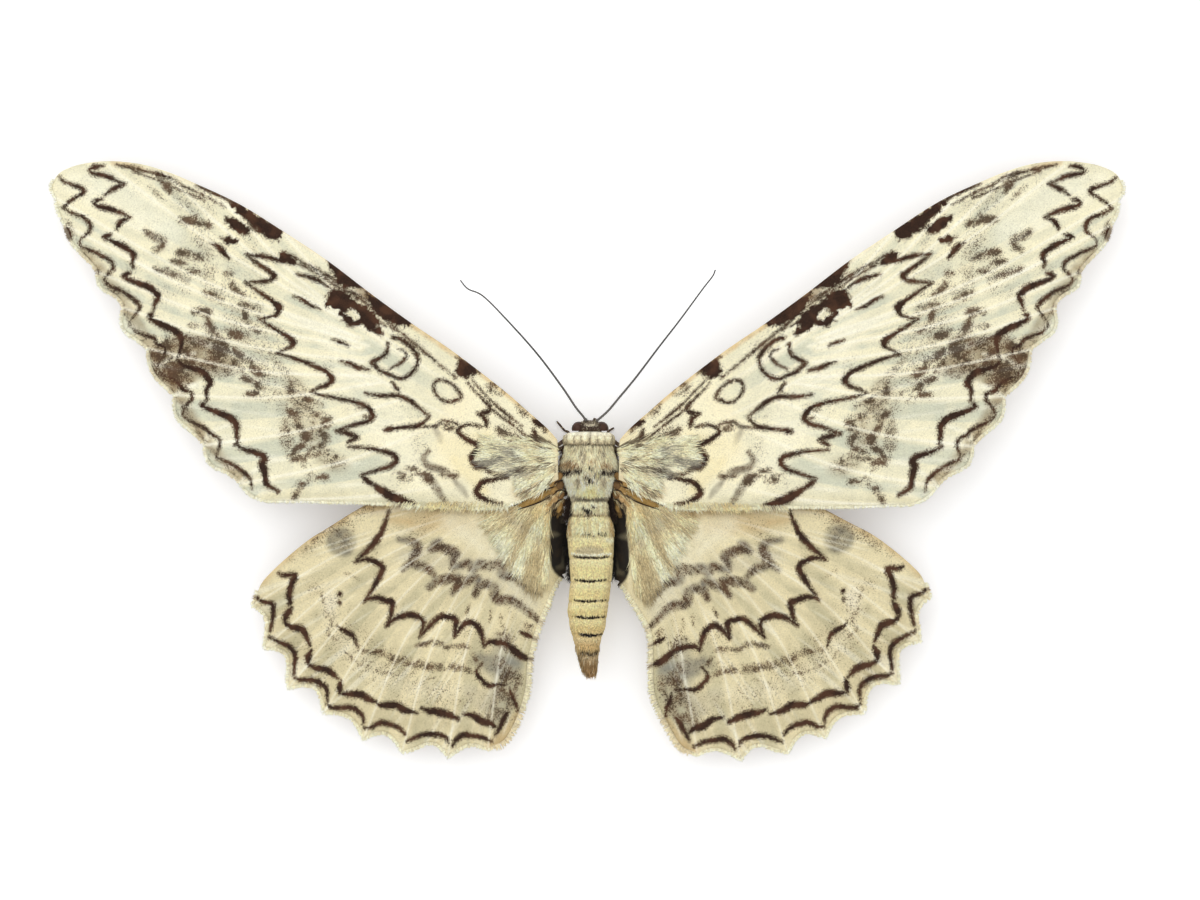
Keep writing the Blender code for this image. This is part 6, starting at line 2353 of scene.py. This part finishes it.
def build_legs(finish: bpy.types.Material) -> None:
    """Six legs where the CAD has them.

    Args:
        finish: Their material.
    """
    feet = {
        Side.LEFT: ((4.6, 5.6, 0.5), (5.2, 6.6, 0.24), (6.1, 7.0, 0.24), (7.9, 9.1, 0.24)),
        Side.RIGHT: ((4.6, 5.6, 0.5), (4.9, 6.6, 0.24), (6.2, 7.5, 0.24)),
    }
    for side in Side:
        for pair, thigh, shank, foot in (
            ("front", ((2.6, 4.2, 3.7), (5.2, 2.7, 2.7), (8.4, 2.0, 4.1)),
             ((8.5, 2.7, 3.7), (6.4, 4.2, 1.7), (4.9, 5.2, 0.9)), feet[side]),
            ("middle", ((3.2, -2.5, 3.5), (7.5, -2.6, 3.1), (13.5, -1.0, 6.4)),
             ((14.0, -1.4, 6.0), (15.7, -2.6, 3.5), (17.2, -3.6, 1.1)),
             ((17.6, -3.9, 0.6), (18.5, -4.5, 0.24), (24.5, -7.5, 0.24))),
            ("hind", ((3.2, -7.2, 4.1), (7.0, -9.5, 4.4), (12.3, -13.2, 7.0)),
             ((12.7, -13.9, 6.6), (14.0, -19.0, 3.8), (15.3, -24.5, 1.1)),
             ((15.4, -25.1, 0.6), (15.6, -26.2, 0.24), (17.5, -35.0, 0.24))),
        ):
            Leg(side, pair, thigh, shank, foot).build(finish)


def build_feelers(finish: bpy.types.Material) -> None:
    """Two feelers where the CAD has them.

    Args:
        finish: Their material.
    """
    left = (
        (-0.60, 9.35, 11.30), (-1.50, 10.60, 12.00), (-3.25, 12.75, 12.80), (-6.60, 17.75, 13.80),
        (-12.40, 25.50, 14.60), (-19.00, 33.00, 14.80), (-26.10, 40.25, 14.20), (-30.10, 42.25, 13.60),
        (-32.10, 44.50, 13.20),
    )
    right = (
        (2.00, 9.30, 11.30), (2.90, 10.00, 12.00), (5.00, 11.90, 12.80), (7.60, 15.00, 13.50),
        (11.90, 20.20, 14.20), (17.50, 27.60, 14.80), (22.70, 34.30, 14.80), (28.60, 42.30, 13.90),
        (31.00, 45.40, 13.40), (31.70, 47.00, 13.20),
    )
    Feeler(Side.LEFT, left).build(finish)
    Feeler(Side.RIGHT, right).build(finish)


@dataclass(frozen=True)
class Stage:
    """Pale floor, white surroundings, a soft key light and the camera straight above."""

    room_strength: float = 0.95
    reach: float = 3.0
    floor_colour: str = "FEFEFE"
    floor_glow: float = 0.22
    key_energy: float = 4.6
    key_size: float = 1.4
    key_place: tuple[float, float, float] = (-0.75, 0.85, 1.25)
    key_tilt: tuple[float, float] = (-37.0, -26.0)
    focal_length: float = 200.0
    sensor: float = 36.0
    # Focal length over sensor, times the 0.3 m that the photo spans, above the wings' 12.5 mm
    camera_place: tuple[float, float, float] = (0.002875, 0.002, 1.6667 + 0.0125)

    def lay(self) -> None:
        """Make them all in the scene."""
        scene = bpy.context.scene
        world = bpy.data.worlds.new("pale_room")
        world.use_nodes = True
        back = world.node_tree.nodes["Background"]
        back.inputs["Color"].default_value = (1.0, 1.0, 1.0, 1.0)
        back.inputs["Strength"].default_value = self.room_strength
        scene.world = world
        mesh = bpy.data.meshes.new("floor")
        reach = self.reach
        corners = [(-reach, -reach, 0), (reach, -reach, 0), (reach, reach, 0), (-reach, reach, 0)]
        mesh.from_pydata(corners, [], [(0, 1, 2, 3)])
        floor = bpy.data.objects.new("floor", mesh)
        scene.collection.objects.link(floor)
        made, _, shader = new_material("white_card")
        shader.inputs["Base Color"].default_value = rgba(self.floor_colour)
        shader.inputs["Roughness"].default_value = 0.9
        shader.inputs["Emission Color"].default_value = rgba("FFFFFF")
        shader.inputs["Emission Strength"].default_value = self.floor_glow
        mesh.materials.append(made)
        key = bpy.data.lights.new("key", "AREA")
        key.energy = self.key_energy
        key.size = self.key_size
        lamp = bpy.data.objects.new("key", key)
        lamp.location = self.key_place
        lamp.rotation_euler = (*(math.radians(tilt) for tilt in self.key_tilt), 0.0)
        scene.collection.objects.link(lamp)
        lens = bpy.data.cameras.new("camera")
        lens.lens = self.focal_length
        lens.sensor_width = self.sensor
        lens.clip_end = 20.0
        camera = bpy.data.objects.new("camera", lens)
        camera.location = self.camera_place
        scene.collection.objects.link(camera)
        scene.camera = camera
        scene.view_settings.view_transform = "Standard"


def main() -> None:
    """Build the moth piece by piece."""
    logging.basicConfig(level=logging.INFO, format="%(message)s")
    scales, hair = WingScales().make(), HairScales().make()
    horn, facets = Horn().make(), EyeFacets().make()
    fore, hind = forewing_plan(), hindwing_plan()
    for side in Side:
        for wing, rows in ((Forewing(side, fore), FOREWING_COAT), (Hindwing(side, hind), HINDWING_COAT)):
            wing.build(scales)
            WingHair(wing).build(rows, hair)
    body = Body()
    body.build(hair)
    for zone in BODY_ZONES:
        body.coat(zone, hair)
    Head().build(facets, hair, horn)
    build_feelers(horn)
    for side in Side:
        Hinge().build(side, hair)
    build_legs(hair)
    Stage().lay()


if __name__ == "__main__":
    main()
